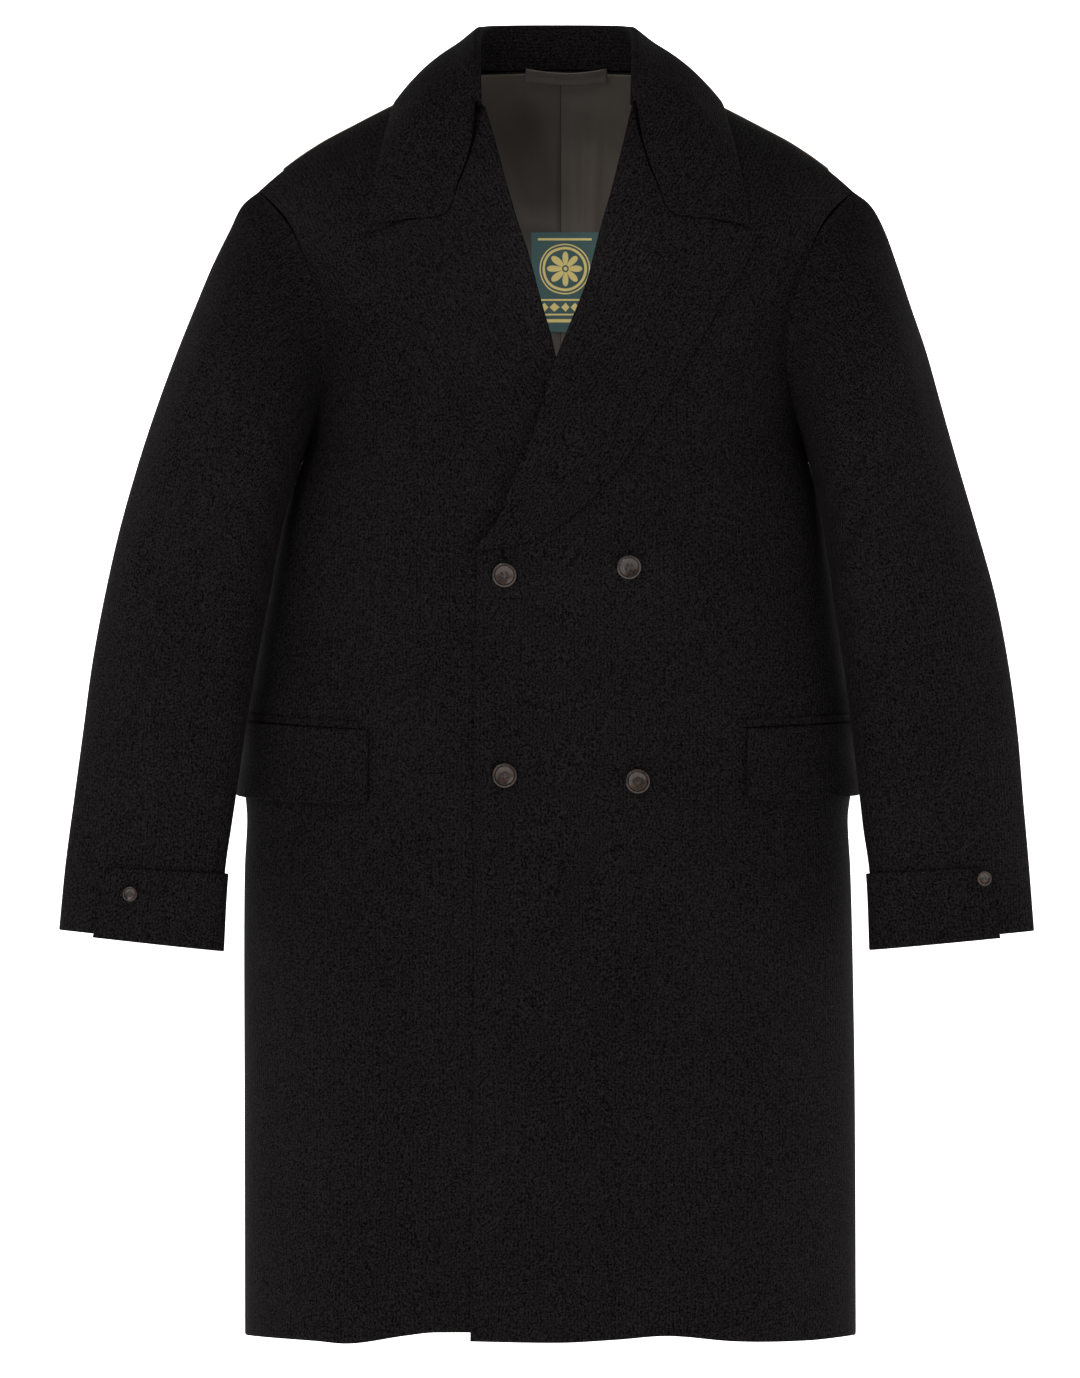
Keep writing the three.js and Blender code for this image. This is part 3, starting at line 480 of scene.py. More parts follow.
def fullness(n, first, last):
    """How much of its thickness the cloth has near an edge, free or sewn, for each place of edged()."""
    f = np.ones(n)
    f[:3] = first
    f[-3:] = last[::-1]
    return f


def new_object(name, verts, faces, uvs=None, smooth=True):
    mesh = bpy.data.meshes.new(name)
    mesh.from_pydata([tuple(v) for v in np.asarray(verts) * M], [], faces)
    if uvs is not None:
        layer = mesh.uv_layers.new(name="cut")
        loops = np.empty(len(mesh.loops), int)
        mesh.loops.foreach_get("vertex_index", loops)
        layer.data.foreach_set("uv", (np.asarray(uvs)[loops] * M).astype(np.float32).ravel())
    mesh.update()
    ob = bpy.data.objects.new(name, mesh)
    bpy.context.scene.collection.objects.link(ob)
    bm = bmesh.new()
    bm.from_mesh(mesh)
    bmesh.ops.recalc_face_normals(bm, faces=bm.faces)
    if bm.calc_volume(signed=True) < 0:
        bmesh.ops.reverse_faces(bm, faces=bm.faces)
    bm.to_mesh(mesh)
    bm.free()
    if smooth:
        mesh.polygons.foreach_set("use_smooth", [True] * len(mesh.polygons))
    return ob


def shell(name, outer, inner, uv):
    """Closed shell between two grids of points, its edges already drawn together."""
    r, c = outer.shape[:2]
    ids = np.arange(r * c).reshape(r, c)
    o, i = ids, ids + r * c
    faces = []
    for grid, flip in ((o, False), (i, True)):
        a, b, d, e = grid[:-1, :-1], grid[:-1, 1:], grid[1:, 1:], grid[1:, :-1]
        q = np.stack([a, b, d, e] if not flip else [a, e, d, b], -1).reshape(-1, 4)
        faces.append(q)
    rim = np.concatenate([o[0, :], o[1:, -1], o[-1, -2::-1], o[-2:0:-1, 0]])
    nxt = np.roll(rim, -1)
    faces.append(np.stack([nxt, rim, rim + r * c, nxt + r * c], -1))
    verts = np.concatenate([outer.reshape(-1, 3), inner.reshape(-1, 3)])
    uvs = np.concatenate([uv.reshape(-1, 2), uv.reshape(-1, 2)])
    return new_object(name, verts, np.concatenate(faces).tolist(), uvs)


def thin(grid, normals, thick, lift=0.0, edges=(FREE, FREE, FREE, FREE)):
    """Outer and inner face of a cloth of this thickness, drawn together at its free edges.

    The edges are those of the first and last row, then of the first and last column.
    """
    r, c = grid.shape[:2]
    full = np.minimum.outer(fullness(r, *edges[:2]), fullness(c, *edges[2:]))[..., None]
    mid = grid + normals * (np.asarray(lift, float)[..., None] - thick / 2)
    half = normals * (thick / 2) * full
    return mid + half, mid - half


def arc_uv(grid):
    """Place on the cut in millimetres: along the rows and up the columns, as the cloth lies."""
    du = np.linalg.norm(np.diff(grid, axis=1), axis=-1)
    dv = np.linalg.norm(np.diff(grid, axis=0), axis=-1)
    u = np.concatenate([np.zeros((grid.shape[0], 1)), np.cumsum(du, axis=1)], 1)
    v = np.concatenate([np.zeros((1, grid.shape[1])), np.cumsum(dv, axis=0)], 0)
    u = u - u.mean(axis=1, keepdims=True)
    return np.stack([u, v], -1)




def finish_piece(ob, node, material, replaces=True):
    ob.data.materials.append(material)
    if replaces:
        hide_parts(node)
    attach(ob, "root")
    return ob


# Body panels: v runs up the rows, level below the underarm and then fanned to the shoulder
V_BODY = np.concatenate([
    [0, 0.012, 0.035],
    np.linspace(0.08, LOW_ROWS, 120),
    np.linspace(LOW_ROWS, LOW_ROWS + FAN_ROWS - 0.2, 74)[1:],
    [LOW_ROWS + FAN_ROWS - 0.12, LOW_ROWS + FAN_ROWS - 0.05, LOW_ROWS + FAN_ROWS],
])


def fan_share(v):
    return (1 - np.cos(np.pi * np.clip(v - LOW_ROWS, 0, FAN_ROWS) / FAN_ROWS)) / 2


def side_bias(u):
    return np.sin(u * np.pi / 2)


def front_grid(side, edge_at, hem, y_at, count):
    u = edged(count, 0.9, 330.0)[None, :]
    v = V_BODY[:, None]
    low = v <= LOW_ROWS
    flat = mix(HEM_Z, UNDERARM_Z, np.clip(v / LOW_ROWS, 0, 1))
    bias = side_bias(u)
    x_low = mix(edge_at(flat), side * half_width(side, flat), bias)
    z_low = flat + (along(hem, "x", x_low, "z") - HEM_Z) * (1 - np.clip(v / LOW_ROWS, 0, 1))
    t = fan_share(v)
    in_z = mix(UNDERARM_Z, NECK_Z, t)
    neck = np.clip((in_z - GORGE_Z) / (NECK_Z - GORGE_Z), 0, 1)
    in_x = np.where(in_z < GORGE_Z, edge_at(in_z), mix(edge_at(GORGE_Z), side * NECK_X, neck))
    out_z = mix(UNDERARM_Z, TIP_Z, t)
    out_x = side * armhole_x(out_z)
    share = mix(bias, u, t * 0.7)
    x_fan = mix(in_x, out_x, share)
    straight = mix(NECK_Z, TIP_Z, (np.abs(x_fan) - NECK_X) / (TIP_X - NECK_X))
    arch = np.where(np.abs(x_fan) > NECK_X, (shoulder_z(x_fan) - straight) * t**4, 0)
    z_fan = mix(in_z, out_z, share) + arch
    x, z = np.where(low, x_low, x_fan), np.where(low, z_low, z_fan)
    p, n = on_face(lambda a, b: y_at(a, b) - SEAM_GAP / 2, x, z, -1)
    return p, n


def back_top_z(x):
    out = np.abs(x)
    return np.where(out < NECK_X, mix(BACK_NECK_Z, NECK_Z, out / NECK_X), shoulder_z(out))


def back_grid(count):
    half = edged(count, 0.9, 280.0)
    half = half[half <= 1]
    right = (half[len(half) // 2:] - 0.5) * 2
    u = np.concatenate([-right[::-1], right])[None, :]
    u = np.unique(np.round(u, 6))[None, :]
    v = V_BODY[:, None]
    t = fan_share(v)
    low = v <= LOW_ROWS
    flat = mix(HEM_Z, UNDERARM_Z, np.clip(v / LOW_ROWS, 0, 1))
    side = np.where(u < 0, -1.0, 1.0)
    g = side * mix(side_bias(np.abs(u)), np.abs(u), t * 0.7)
    out_z = np.where(low, flat, mix(UNDERARM_Z, TIP_Z, t))
    out = np.where(low, half_width(side, flat), armhole_x(out_z))
    z = np.where(low, flat, mix(UNDERARM_Z, back_top_z(TIP_X * g), t))
    p, n = on_face(lambda a, b: back_y(a, b) + SEAM_GAP / 2, out * g, z, 1)
    return p, n


def panel(name, grid, edges):
    p, n = grid
    return shell(name, *thin(p, n, CLOTH, edges=edges), unrolled_uv(p))


def unrolled_uv(p, centre_x=0.0):
    """Cut of a body panel: distance round the section from a middle line, and height."""
    ds = np.linalg.norm(np.diff(p[..., :2], axis=1), axis=-1)
    s = np.concatenate([np.zeros((p.shape[0], 1)), np.cumsum(ds, axis=1)], 1)
    sign = np.sign(p[0, -1, 0] - p[0, 0, 0])
    start = np.array([np.interp(sign * centre_x, sign * row, s[r]) for r, row in enumerate(p[..., 0])])
    return np.stack([(s - start[:, None]) * sign, p[..., 2]], -1)


# Lapels
def lapel_lift(u):
    """Height over the front along the lapel's top edge: it rises to the roll."""
    return LAPEL_LIFT + 4.5 * (1 - u) ** 4 + 1.8 * (1 - u) ** 6


def lapel_grid(edge_at, outer_rows, top_rows, side, y_at):
    v = edged(64, 0.9, 400.0)[:, None]
    u = edged(34, 0.9, 150.0)[None, :]
    low = (edge_at(BREAK_Z), BREAK_Z)
    start = (outer_rows["x"][0], outer_rows["z"][0])
    roll_z = mix(BREAK_Z, GORGE_Z - 1, v)
    roll = (edge_at(roll_z) - side * 1.2, roll_z)
    places = []
    for k, name in enumerate(("x", "z")):
        g, p = top_rows[name][0], top_rows[name][-1]
        out = along(outer_rows, "t", v, name)
        top = along(top_rows, "u", u, name)
        bottom = mix(low[k], start[k], u)
        corners = mix(bottom, mix(g, p, u), v)
        places.append(mix(roll[k], out, u) + mix(bottom, top, v) - corners)
    x, z = places
    soft = 1.2 * np.exp(-(((u - 0.55) / 0.2) ** 2)) * np.exp(-(((v - 0.45) / 0.25) ** 2))
    turned = 1.8 * (1 - u) ** 6 * step(0.02, 0.3, v)
    lift = LAPEL_LIFT + 4.5 * (1 - u) ** 4 * step(0.35, 0.8, v) + soft + turned
    p, n = on_face(y_at, x, z, -1)
    return p, n, np.broadcast_to(lift, p.shape[:2]), u, v


# Collar: sections up the stand, over the roll and down the fall
def collar_edge(side, i):
    x, z, facing = side * COLLAR["ex"][i] + COLLAR_MID, COLLAR["ez"][i], COLLAR["side"][i]
    if facing == 0:
        return np.array([x, -3.0, z])
    y_at = back_y if facing > 0 else upper_y if side > 0 else covered_y
    return on_face(y_at, np.array([x]), np.array([z]), facing, np.array([6.0]))[0][0]


def collar_section(side, i):
    n = np.array([side * COLLAR["nx"][i], COLLAR["ny"][i], COLLAR["nz"][i]])
    roll = np.array([side * COLLAR["rx"][i], COLLAR["ry"][i], COLLAR["rz"][i]])
    edge = collar_edge(side, i)
    out = unit(np.array([edge[0] - n[0], edge[1] - n[1], 0.0]))
    up = np.array([0, 0, 1.0])

    def at(a, b):
        return roll + out * a * COLLAR_ROLL_R + up * b * COLLAR_ROLL_R

    points = [n, mix(n, at(-1, -1), 0.5), at(-1, -1), at(-0.7, -0.3), roll, at(0.7, -0.3)]
    for f in FALL_PARTS:
        bow = 5 * math.sin(math.pi * f)
        points.append(mix(at(1, -1), edge, f) + out * bow + up * bow * 0.6)
    return points


def collar_last(side):
    y_at = upper_y if side > 0 else covered_y

    def lay(x, z, lift):
        return on_face(y_at, np.array([x]), np.array([z]), -1, np.array([lift]))[0][0]

    x0 = side * (GORGE_X - 1)
    points = [
        lay(x0 + side * 4, GORGE_Z + 1, 3.6),
        lay(x0 + side * 2, GORGE_Z + 1, 4.5),
        lay(x0 - side * 1, GORGE_Z + 1, 6),
        lay(x0 - side * 1.5, GORGE_Z + 1, 8.5),
        lay(x0, GORGE_Z + 1, 10.5),
        lay(x0 + side * 3, GORGE_Z - 1, 10.5),
    ]
    end = COLLAR_END
    tip_x = side * end["tip_x"] + COLLAR_MID
    seam = LEFT_LAPEL_TOP if side > 0 else RIGHT_LAPEL_TOP
    for f in FALL_PARTS:
        u = min(f, end["u"])
        to_tip = (f - u) / (1 - end["u"])
        x = mix(float(along(seam, "u", u, "x")) + side * end["apart"], tip_x, to_tip)
        z = mix(float(along(seam, "u", u, "z")) + end["apart"], end["tip_z"], to_tip)
        points.append(lay(x, z, lapel_lift(u) + 0.1))
    return points


def smooth_rows(points, at):
    """Smooth curve through rows of points (first axis), at fractional row numbers."""
    n = len(points)
    i = np.clip(np.floor(at).astype(int), 0, n - 2)
    t = (at - i)[:, None, None]
    p = [points[np.clip(i + k, 0, n - 1)] for k in (-1, 0, 1, 2)]
    return 0.5 * (
        2 * p[1] + (p[2] - p[0]) * t + (2 * p[0] - 5 * p[1] + 4 * p[2] - p[3]) * t**2
        + (3 * p[1] - p[0] - 3 * p[2] + p[3]) * t**3
    )


def collar_grid():
    count = len(COLLAR["nx"])
    half = [[collar_section(side, i) for i in range(count)] + [collar_last(side)] for side in (-1, 1)]
    stations = np.array(half[0][1:][::-1] + half[1])
    rows = smooth_rows(stations, edged(150, 0.9, 560.0) * (len(stations) - 1))
    across = np.concatenate([[0, 0.03, 0.1], np.linspace(0.3, 9.6, 64), [9.9, 9.96, 10]])
    grid = smooth_rows(np.swapaxes(rows, 0, 1), across)
    return np.swapaxes(grid, 0, 1)


def grid_normals(p):
    a = np.gradient(p, axis=0)
    b = np.gradient(p, axis=1)
    return unit(np.cross(a, b))


# Sleeves: rings that start as the armhole and turn into ovals
SLEEVES = {1: SLEEVE_LEFT, -1: SLEEVE_RIGHT}


def oval(side, ring, angle):
    table = SLEEVES[side]
    outer_y = along(table, "k", ring, "y")
    outer = xyz(side * along(table, "k", ring, "ox"), outer_y, along(table, "k", ring, "oz"))
    inner_y = outer_y - INNER_FORWARD * step(0, FORWARD_RINGS, ring)
    inner = xyz(side * along(table, "k", ring, "ix"), inner_y, along(table, "k", ring, "iz"))
    deep = -along(table, "k", ring, "depth") / 2 * np.sin(angle)
    half = (outer - inner) / 2
    return (outer + inner) / 2 + half * np.cos(angle)[..., None] + xyz(0, deep, 0)


def armhole(side, angle):
    z = ARMHOLE_MID + ARMHOLE_HALF * np.cos(angle)
    x = side * armhole_x(z)
    front = (upper_y if side > 0 else covered_y)(x, z) - SEAM_GAP / 2
    back = back_y(x, z) + SEAM_GAP / 2
    return xyz(x, np.where(np.sin(angle) >= 0, front, back), z)


# Creases of the sleeves: ring, angle, length in rings, width in radians, height; each lies round the sleeve
SLEEVE_CREASES = [
    (6.2, 2.5, 0.35, 0.7, -3.0),
    (6.9, 2.3, 0.3, 0.8, 1.6),
    (7.6, 2.6, 0.35, 0.6, -2.2),
    (8.8, 2.2, 0.4, 0.7, -2.0),
    (9.7, 2.45, 0.4, 0.6, 1.4),
    (10.4, 2.5, 0.4, 0.6, -1.6),
    (4.6, 2.3, 0.5, 0.6, -2.2),
    (3.4, 1.9, 0.6, 0.5, 1.2),
    (7.2, -2.4, 0.4, 0.6, -2.2),
    (9.0, -2.2, 0.5, 0.6, -1.8),
    (5.2, -2.2, 0.6, 0.6, -2.0),
    (11.6, 2.6, 0.5, 0.5, -1.2),
]


def sleeve_relief(side, ring, angle):
    turned = np.arctan2(np.sin(angle), np.cos(angle))
    total = np.zeros(np.broadcast(ring, angle).shape)
    for i, (r, a, long, wide, high) in enumerate(SLEEVE_CREASES):
        shift = 0.25 * math.sin(3.1 * i + side)
        gap = np.arctan2(np.sin(turned - a), np.cos(turned - a))
        tilt = 0.5 * gap
        total = total + high * np.exp(-(((ring - r - shift - tilt) / long) ** 2) - (gap / wide) ** 2)
    # A long soft ridge down the outer front, and small puckers of the sleeve head at the seam.
    ridge = 2.2 * np.exp(-(((turned - 0.85) / 0.22) ** 2)) * step(0.3, 2.5, ring) * (1 - step(7, 10, ring))
    pucker = 0.15 * np.sin(turned * 31 + side) * np.exp(-ring / 0.5) * step(2.2, 1.2, np.abs(turned))
    calm = 1 - 0.75 * step(2.3, 2.9, np.abs(turned))
    return total * calm * step(2, 4, ring) * (1 - step(12.3, 13, ring)) + ridge + pucker


def sleeve_at(side, ring, angle):
    ring, angle = np.broadcast_arrays(np.asarray(ring, float), np.asarray(angle, float))
    share = (1 - step(0, BLEND_RINGS, ring))[..., None]
    zero = np.zeros_like(ring)
    return oval(side, ring, angle) + share * (armhole(side, angle) - oval(side, zero, angle))


def sleeve_normal(side, ring, angle):
    near = 0.02
    down = sleeve_at(side, np.minimum(ring + near, SLEEVE_END + 1), angle)
    down = down - sleeve_at(side, np.maximum(ring - near, 0), angle)
    turn = sleeve_at(side, ring, angle + near) - sleeve_at(side, ring, angle - near)
    return unit(np.cross(turn, down)) * side


def sleeve_point(side, ring, angle):
    ring, angle = np.broadcast_arrays(np.asarray(ring, float), np.asarray(angle, float))
    n = sleeve_normal(side, ring, angle)
    p = sleeve_at(side, ring, angle)
    turned = np.abs(np.arctan2(np.sin(angle), np.cos(angle)))
    lower = step(math.pi / 3, 2 * math.pi / 3, turned)[..., None]
    front = normal_of(upper_y if side > 0 else covered_y, p[..., 0], p[..., 2], -1)
    back = normal_of(back_y, p[..., 0], p[..., 2], 1)
    body = np.where(np.sin(angle)[..., None] >= 0, front, back)
    seam = (1 - step(0, 0.25, ring))[..., None]
    n = unit(mix(n, n * lower + body * (1 - lower), seam))
    away = unit(sleeve_at(side, ring + 0.05, angle) - p)
    p = p + seam * (away * SEWN_GAP + lower * xyz(side * SEWN_GAP, 0, 0))
    # Under the arm the sleeve presses softly against the side of the body.
    pressed = UNDERARM_PRESS * np.exp(-(((ring - 1.4) / 1.5) ** 2))[..., None]
    p = p - lower * pressed * xyz(side, 0, 0)
    # The seam lies a little deeper than the cloth on both sides of it.
    dip = 0.2 * np.exp(-((ring / 0.12) ** 2)) * (1 - lower[..., 0])
    relief = sleeve_relief(side, ring, angle) * np.clip(ring / 0.1, 0, 1)
    return p + n * (relief - dip)[..., None], n


def srgb(code):
    """Scene-linear colour of a hex code."""
    values = [int(code[i:i + 2], 16) / 255 for i in (0, 2, 4)]
    return tuple(v / 12.92 if v <= 0.04045 else ((v + 0.055) / 1.055) ** 2.4 for v in values) + (1.0,)


class Nodes:
    """A material's node tree and short ways to add to it."""

    def __init__(self, name):
        self.mat = bpy.data.materials.new(name)
        self.mat.use_nodes = True
        self.tree = self.mat.node_tree
        self.shader = self.tree.nodes["Principled BSDF"]

    def add(self, kind, inputs=(), **settings):
        node = self.tree.nodes.new("ShaderNode" + kind)
        for key, value in settings.items():
            setattr(node, key, value)
        for key, value in dict(inputs).items():
            self.put(node.inputs[key], value)
        return node

    def put(self, socket, value):
        if isinstance(value, bpy.types.NodeSocket):
            self.tree.links.new(value, socket)
        else:
            socket.default_value = value

    def math(self, operation, a, b=0.0, clamp=False):
        node = self.add("Math", operation=operation, use_clamp=clamp)
        self.put(node.inputs[0], a)
        self.put(node.inputs[1], b)
        return node.outputs[0]

    def noise(self, vector, scale, detail=2.0, rough=0.5):
        inputs = {"Vector": vector, "Scale": scale, "Detail": detail, "Roughness": rough}
        return self.add("TexNoise", inputs).outputs["Fac"]

    def ramp(self, value, low, high, to_low=0.0, to_high=1.0):
        node = self.add("MapRange", {"Value": value, "From Min": low, "From Max": high,
                                     "To Min": to_low, "To Max": to_high})
        return node.outputs["Result"]

    def colour(self, factor, a, b):
        node = self.add("Mix", data_type="RGBA")
        self.put(node.inputs[0], factor)
        self.put(node.inputs[6], a)
        self.put(node.inputs[7], b)
        return node.outputs[2]

    def bump(self, height, strength, distance, normal=None):
        node = self.add("Bump", {"Height": height, "Strength": strength, "Distance": distance})
        if normal is not None:
            self.put(node.inputs["Normal"], normal)
        return node.outputs["Normal"]

    def set(self, **values):
        for key, value in values.items():
            self.put(self.shader.inputs[key.replace("_", " ")], value)


def wool(name, dark="020202", light="201d1e", rib=0.0033):
    """Woven black coating wool, brushed on the face: ribs along the piece and short fibres."""
    n = Nodes(name)
    uv = n.add("UVMap", uv_map="cut").outputs["UV"]
    place = n.add("TexCoord").outputs["Object"]
    # Ribs: a wave across the piece, bent a little by slow noise so that no rib is quite straight.
    slow = n.noise(uv, 22.0, 2.0)
    split = n.add("SeparateXYZ", {"Vector": uv})
    across = n.math("ADD", split.outputs["X"], n.math("MULTIPLY", n.math("SUBTRACT", slow, 0.5), rib * 1.6))
    wave = n.math("SINE", n.math("MULTIPLY", across, 2 * math.pi / rib))
    rib_height = n.ramp(wave, -1.0, 1.0)
    # Yarn crossings: a finer beat along the length.
    beat = n.math("SINE", n.math("MULTIPLY", split.outputs["Y"], 2 * math.pi / 0.0016))
    cross = n.math("MULTIPLY", n.ramp(beat, -1.0, 1.0), n.noise(uv, 900.0, 2.0))
    # Brushed fibres: noise drawn out along the length.
    drawn = n.add("Mapping", {"Vector": uv, "Scale": (1400.0, 420.0, 1.0)})
    fibre = n.noise(drawn.outputs["Vector"], 1.0, 4.0, 0.65)
    fuzz = n.noise(place, 620.0, 5.0, 0.7)
    grain = n.ramp(n.noise(place, 720.0, 3.0, 0.75), 0.42, 0.6)
    patch = n.noise(place, 9.0, 3.0)
    shade = n.math("ADD", n.math("MULTIPLY", rib_height, 0.1), n.math("MULTIPLY", fibre, 0.15))
    shade = n.math("ADD", shade, n.math("MULTIPLY", grain, 0.72))
    shade = n.math("ADD", shade, n.math("MULTIPLY", n.math("SUBTRACT", patch, 0.5), 0.15))
    shade = n.math("ADD", shade, n.math("MULTIPLY", cross, 0.2), clamp=True)
    base = n.colour(n.ramp(shade, 0.2, 0.95), srgb(dark), srgb(light))
    lint = n.ramp(n.noise(place, 1500.0, 1.0), 0.78, 0.82)
    base = n.colour(n.math("MULTIPLY", lint, 0.25), base, srgb("3a3634"))
    height = n.math("ADD", n.math("MULTIPLY", rib_height, 0.5), n.math("MULTIPLY", fuzz, 0.6))
    height = n.math("ADD", height, n.math("MULTIPLY", fibre, 0.5))
    normal = n.bump(height, 0.55, 0.0005)
    n.set(Base_Color=base, Roughness=0.92, Normal=normal)
    n.shader.inputs["Specular IOR Level"].default_value = 0.02
    n.shader.inputs["Sheen Weight"].default_value = 0.012
    n.shader.inputs["Sheen Roughness"].default_value = 0.42
    n.shader.inputs["Sheen Tint"].default_value = srgb("a8a4a6")
    return n.mat


def satin(name, dark="38312c", light="564e46", seam=None, border=None):
    """Woven lining satin: long floats across the piece give it a soft shine."""
    n = Nodes(name)
    uv = n.add("UVMap", uv_map="cut").outputs["UV"]
    place = n.add("TexCoord").outputs["Object"]
    drawn = n.add("Mapping", {"Vector": uv, "Scale": (500.0, 4200.0, 1.0)})
    floats = n.noise(drawn.outputs["Vector"], 1.0, 3.0)
    slow = n.noise(place, 14.0, 3.0)
    fine = n.noise(place, 2200.0, 2.0)
    shade = n.math("ADD", n.math("MULTIPLY", floats, 0.5), n.math("MULTIPLY", slow, 0.5))
    base = n.colour(n.ramp(shade, 0.3, 0.7), srgb(dark), srgb(light))
    shade_and_stitch_line = None
    if seam is not None:
        # A pressed seam, painted into the colour: a dark line of painted shade, and painted light on the
        # cloth past it, which is made lighter.
        x = n.add("SeparateXYZ", {"Vector": place}).outputs["X"]
        base = n.colour(n.ramp(x, seam - 0.001, seam + 0.001, 0.0, 0.22), base, srgb("6a6159"))
        shade_and_stitch_line = n.math("LESS_THAN", n.math("ABSOLUTE", n.math("SUBTRACT", x, seam)), 0.0006)
    if border is not None:
        # Dark lines round a tape: painted shadow along its folded edges, pressed flat, and the stitches at
        # both ends, drawn in the same dark colour.
        split = n.add("SeparateXYZ", {"Vector": uv})
        sides = []
        for socket, (low, high) in zip(("X", "Y"), border):
            middle = n.math("ABSOLUTE", n.math("SUBTRACT", split.outputs[socket], (low + high) / 2))
            sides.append(n.math("GREATER_THAN", middle, (high - low) / 2 - 0.0009))
        shade_and_stitch_line = n.math("MAXIMUM", *sides)
    # Painted shade: the dark seam line and the dark lines round the tape, with its stitches, are mixed into
    # the colour here.
    if shade_and_stitch_line is not None:
        base = n.colour(n.math("MULTIPLY", shade_and_stitch_line, 0.75), base, srgb("16110e"))
    n.set(Base_Color=base,
          Roughness=n.ramp(fine, 0.2, 0.8, 0.42, 0.58),
          Normal=n.bump(n.math("ADD", floats, n.math("MULTIPLY", slow, 2.0)), 0.25, 0.0004))
    n.shader.inputs["Sheen Weight"].default_value = 0.08
    n.shader.inputs["Specular IOR Level"].default_value = 0.35
    return n.mat


def horn(name, dark="120c09", light="3c2d25"):
    """Cast resin made to look like dark horn: cloudy brown streaks under a soft polish."""
    n = Nodes(name)
    place = n.add("TexCoord").outputs["Object"]
    drawn = n.add("Mapping", {"Vector": place, "Scale": (60.0, 60.0, 190.0), "Rotation": (0.3, 0.5, 0.2)})
    cloud = n.noise(drawn.outputs["Vector"], 1.0, 4.0, 0.6)
    speck = n.noise(place, 1800.0, 2.0)
    bands = n.add("TexWave", {"Vector": place, "Scale": 70.0, "Distortion": 6.0, "Detail": 2.0})
    streak = bands.outputs["Fac"]
    shade = n.math("ADD", n.math("MULTIPLY", cloud, 0.9), n.math("MULTIPLY", streak, 0.1))
    n.set(Base_Color=n.colour(n.ramp(shade, 0.3, 0.75), srgb(dark), srgb(light)),
          Roughness=n.ramp(speck, 0.2, 0.8, 0.17, 0.24),
          Normal=n.bump(n.math("ADD", cloud, speck), 0.12, 0.0002))
    n.shader.inputs["Coat Weight"].default_value = 0.03
    n.shader.inputs["Coat Roughness"].default_value = 0.3
    n.shader.inputs["IOR"].default_value = 1.42
    return n.mat


def thread(name, code="120f10"):
    """Twisted polyester sewing thread."""
    n = Nodes(name)
    place = n.add("TexCoord").outputs["Object"]
    strands = {"Vector": place, "Scale": 900.0, "Distortion": 2.0}
    bands = n.add("TexWave", strands, bands_direction="DIAGONAL")
    twist = bands.outputs["Fac"]
    grain = n.noise(place, 2600.0, 2.0)
    n.set(Base_Color=n.colour(n.math("MULTIPLY", twist, grain), srgb(code), srgb("2c2828")),
          Roughness=0.7, Normal=n.bump(n.math("ADD", twist, grain), 0.5, 0.0002))
    return n.mat


def woven_label(name):
    """Woven damask label: dark green ground, gold yarn brought up in a plain geometric figure."""
    n = Nodes(name)
    uv = n.add("UVMap", uv_map="cut").outputs["UV"]
    split = n.add("SeparateXYZ", {"Vector": uv})
    u = n.math("MULTIPLY", split.outputs["X"], 1000.0)
    v = n.math("MULTIPLY", split.outputs["Y"], 1000.0)

    def inside(value, limit):
        return n.math("LESS_THAN", value, limit)

    def either(a, b):
        return n.math("MAXIMUM", a, b)

    def off(value, by):
        return n.math("ABSOLUTE", n.math("SUBTRACT", value, by))

    # Rosette of eight leaves in a double ring, above the middle.
    dv = n.math("SUBTRACT", v, 12.0)
    radius = n.math("SQRT", n.math("ADD", n.math("MULTIPLY", u, u), n.math("MULTIPLY", dv, dv)))
    angle = n.math("ARCTAN2", dv, u)
    leaf = n.math("POWER", n.math("ABSOLUTE", n.math("COSINE", n.math("MULTIPLY", angle, 4.0))), 0.5)
    leaves = n.math("MULTIPLY", inside(radius, n.math("MULTIPLY", leaf, 15.5)), inside(3.2, radius))
    figure = either(leaves, inside(radius, 1.8))
    for at, thick in ((18.6, 1.2), (22.0, 0.6)):
        figure = either(figure, inside(off(radius, at), thick))
    # Row of lozenges between bars below it, and one bar near the top.
    turn = n.math("FRACT", n.math("ADD", n.math("DIVIDE", u, 9.0), 0.5))
    slide = off(turn, 0.5)
    lozenge = inside(n.math("ADD", off(v, -22.0), n.math("MULTIPLY", slide, 9.0)), 4.0)
    within = inside(n.math("ABSOLUTE", u), 24.0)
    figure = either(figure, n.math("MULTIPLY", lozenge, within))
    for at, thick in ((-15.5, 0.8), (-28.5, 0.8), (-34.0, 1.5), (38.5, 1.0)):
        figure = either(figure, n.math("MULTIPLY", inside(off(v, at), thick), within))
    # Yarns: weft lines across, and a broken look where the gold comes up.
    weft = n.ramp(n.math("SINE", n.math("MULTIPLY", v, 2 * math.pi / 0.42)), -1.0, 1.0)
    warp = n.ramp(n.math("SINE", n.math("MULTIPLY", u, 2 * math.pi / 0.36)), -1.0, 1.0)
    grain = n.noise(uv, 1500.0, 3.0)
    gold = n.colour(n.math("MULTIPLY", weft, grain), srgb("fff0a0"), srgb("ffd666"))
    ground = n.colour(n.math("MULTIPLY", warp, grain), srgb("4b6f70"), srgb("28403c"))
    height = n.math("ADD", n.math("MULTIPLY", weft, 0.5), n.math("MULTIPLY", figure, 0.9))
    n.set(Base_Color=n.colour(figure, ground, gold), Roughness=0.62, Normal=n.bump(height, 0.5, 0.0004))
    n.shader.inputs["Sheen Weight"].default_value = 0.2
    return n.mat


WOOL = wool("black coating wool, woven and brushed")
WOOL_FACE = wool("black coating wool of lapels and collar", rib=0.0034)
SATIN = satin("lining satin, woven polyester", seam=0.004)
HORN = horn("buttons, cast resin like dark horn")
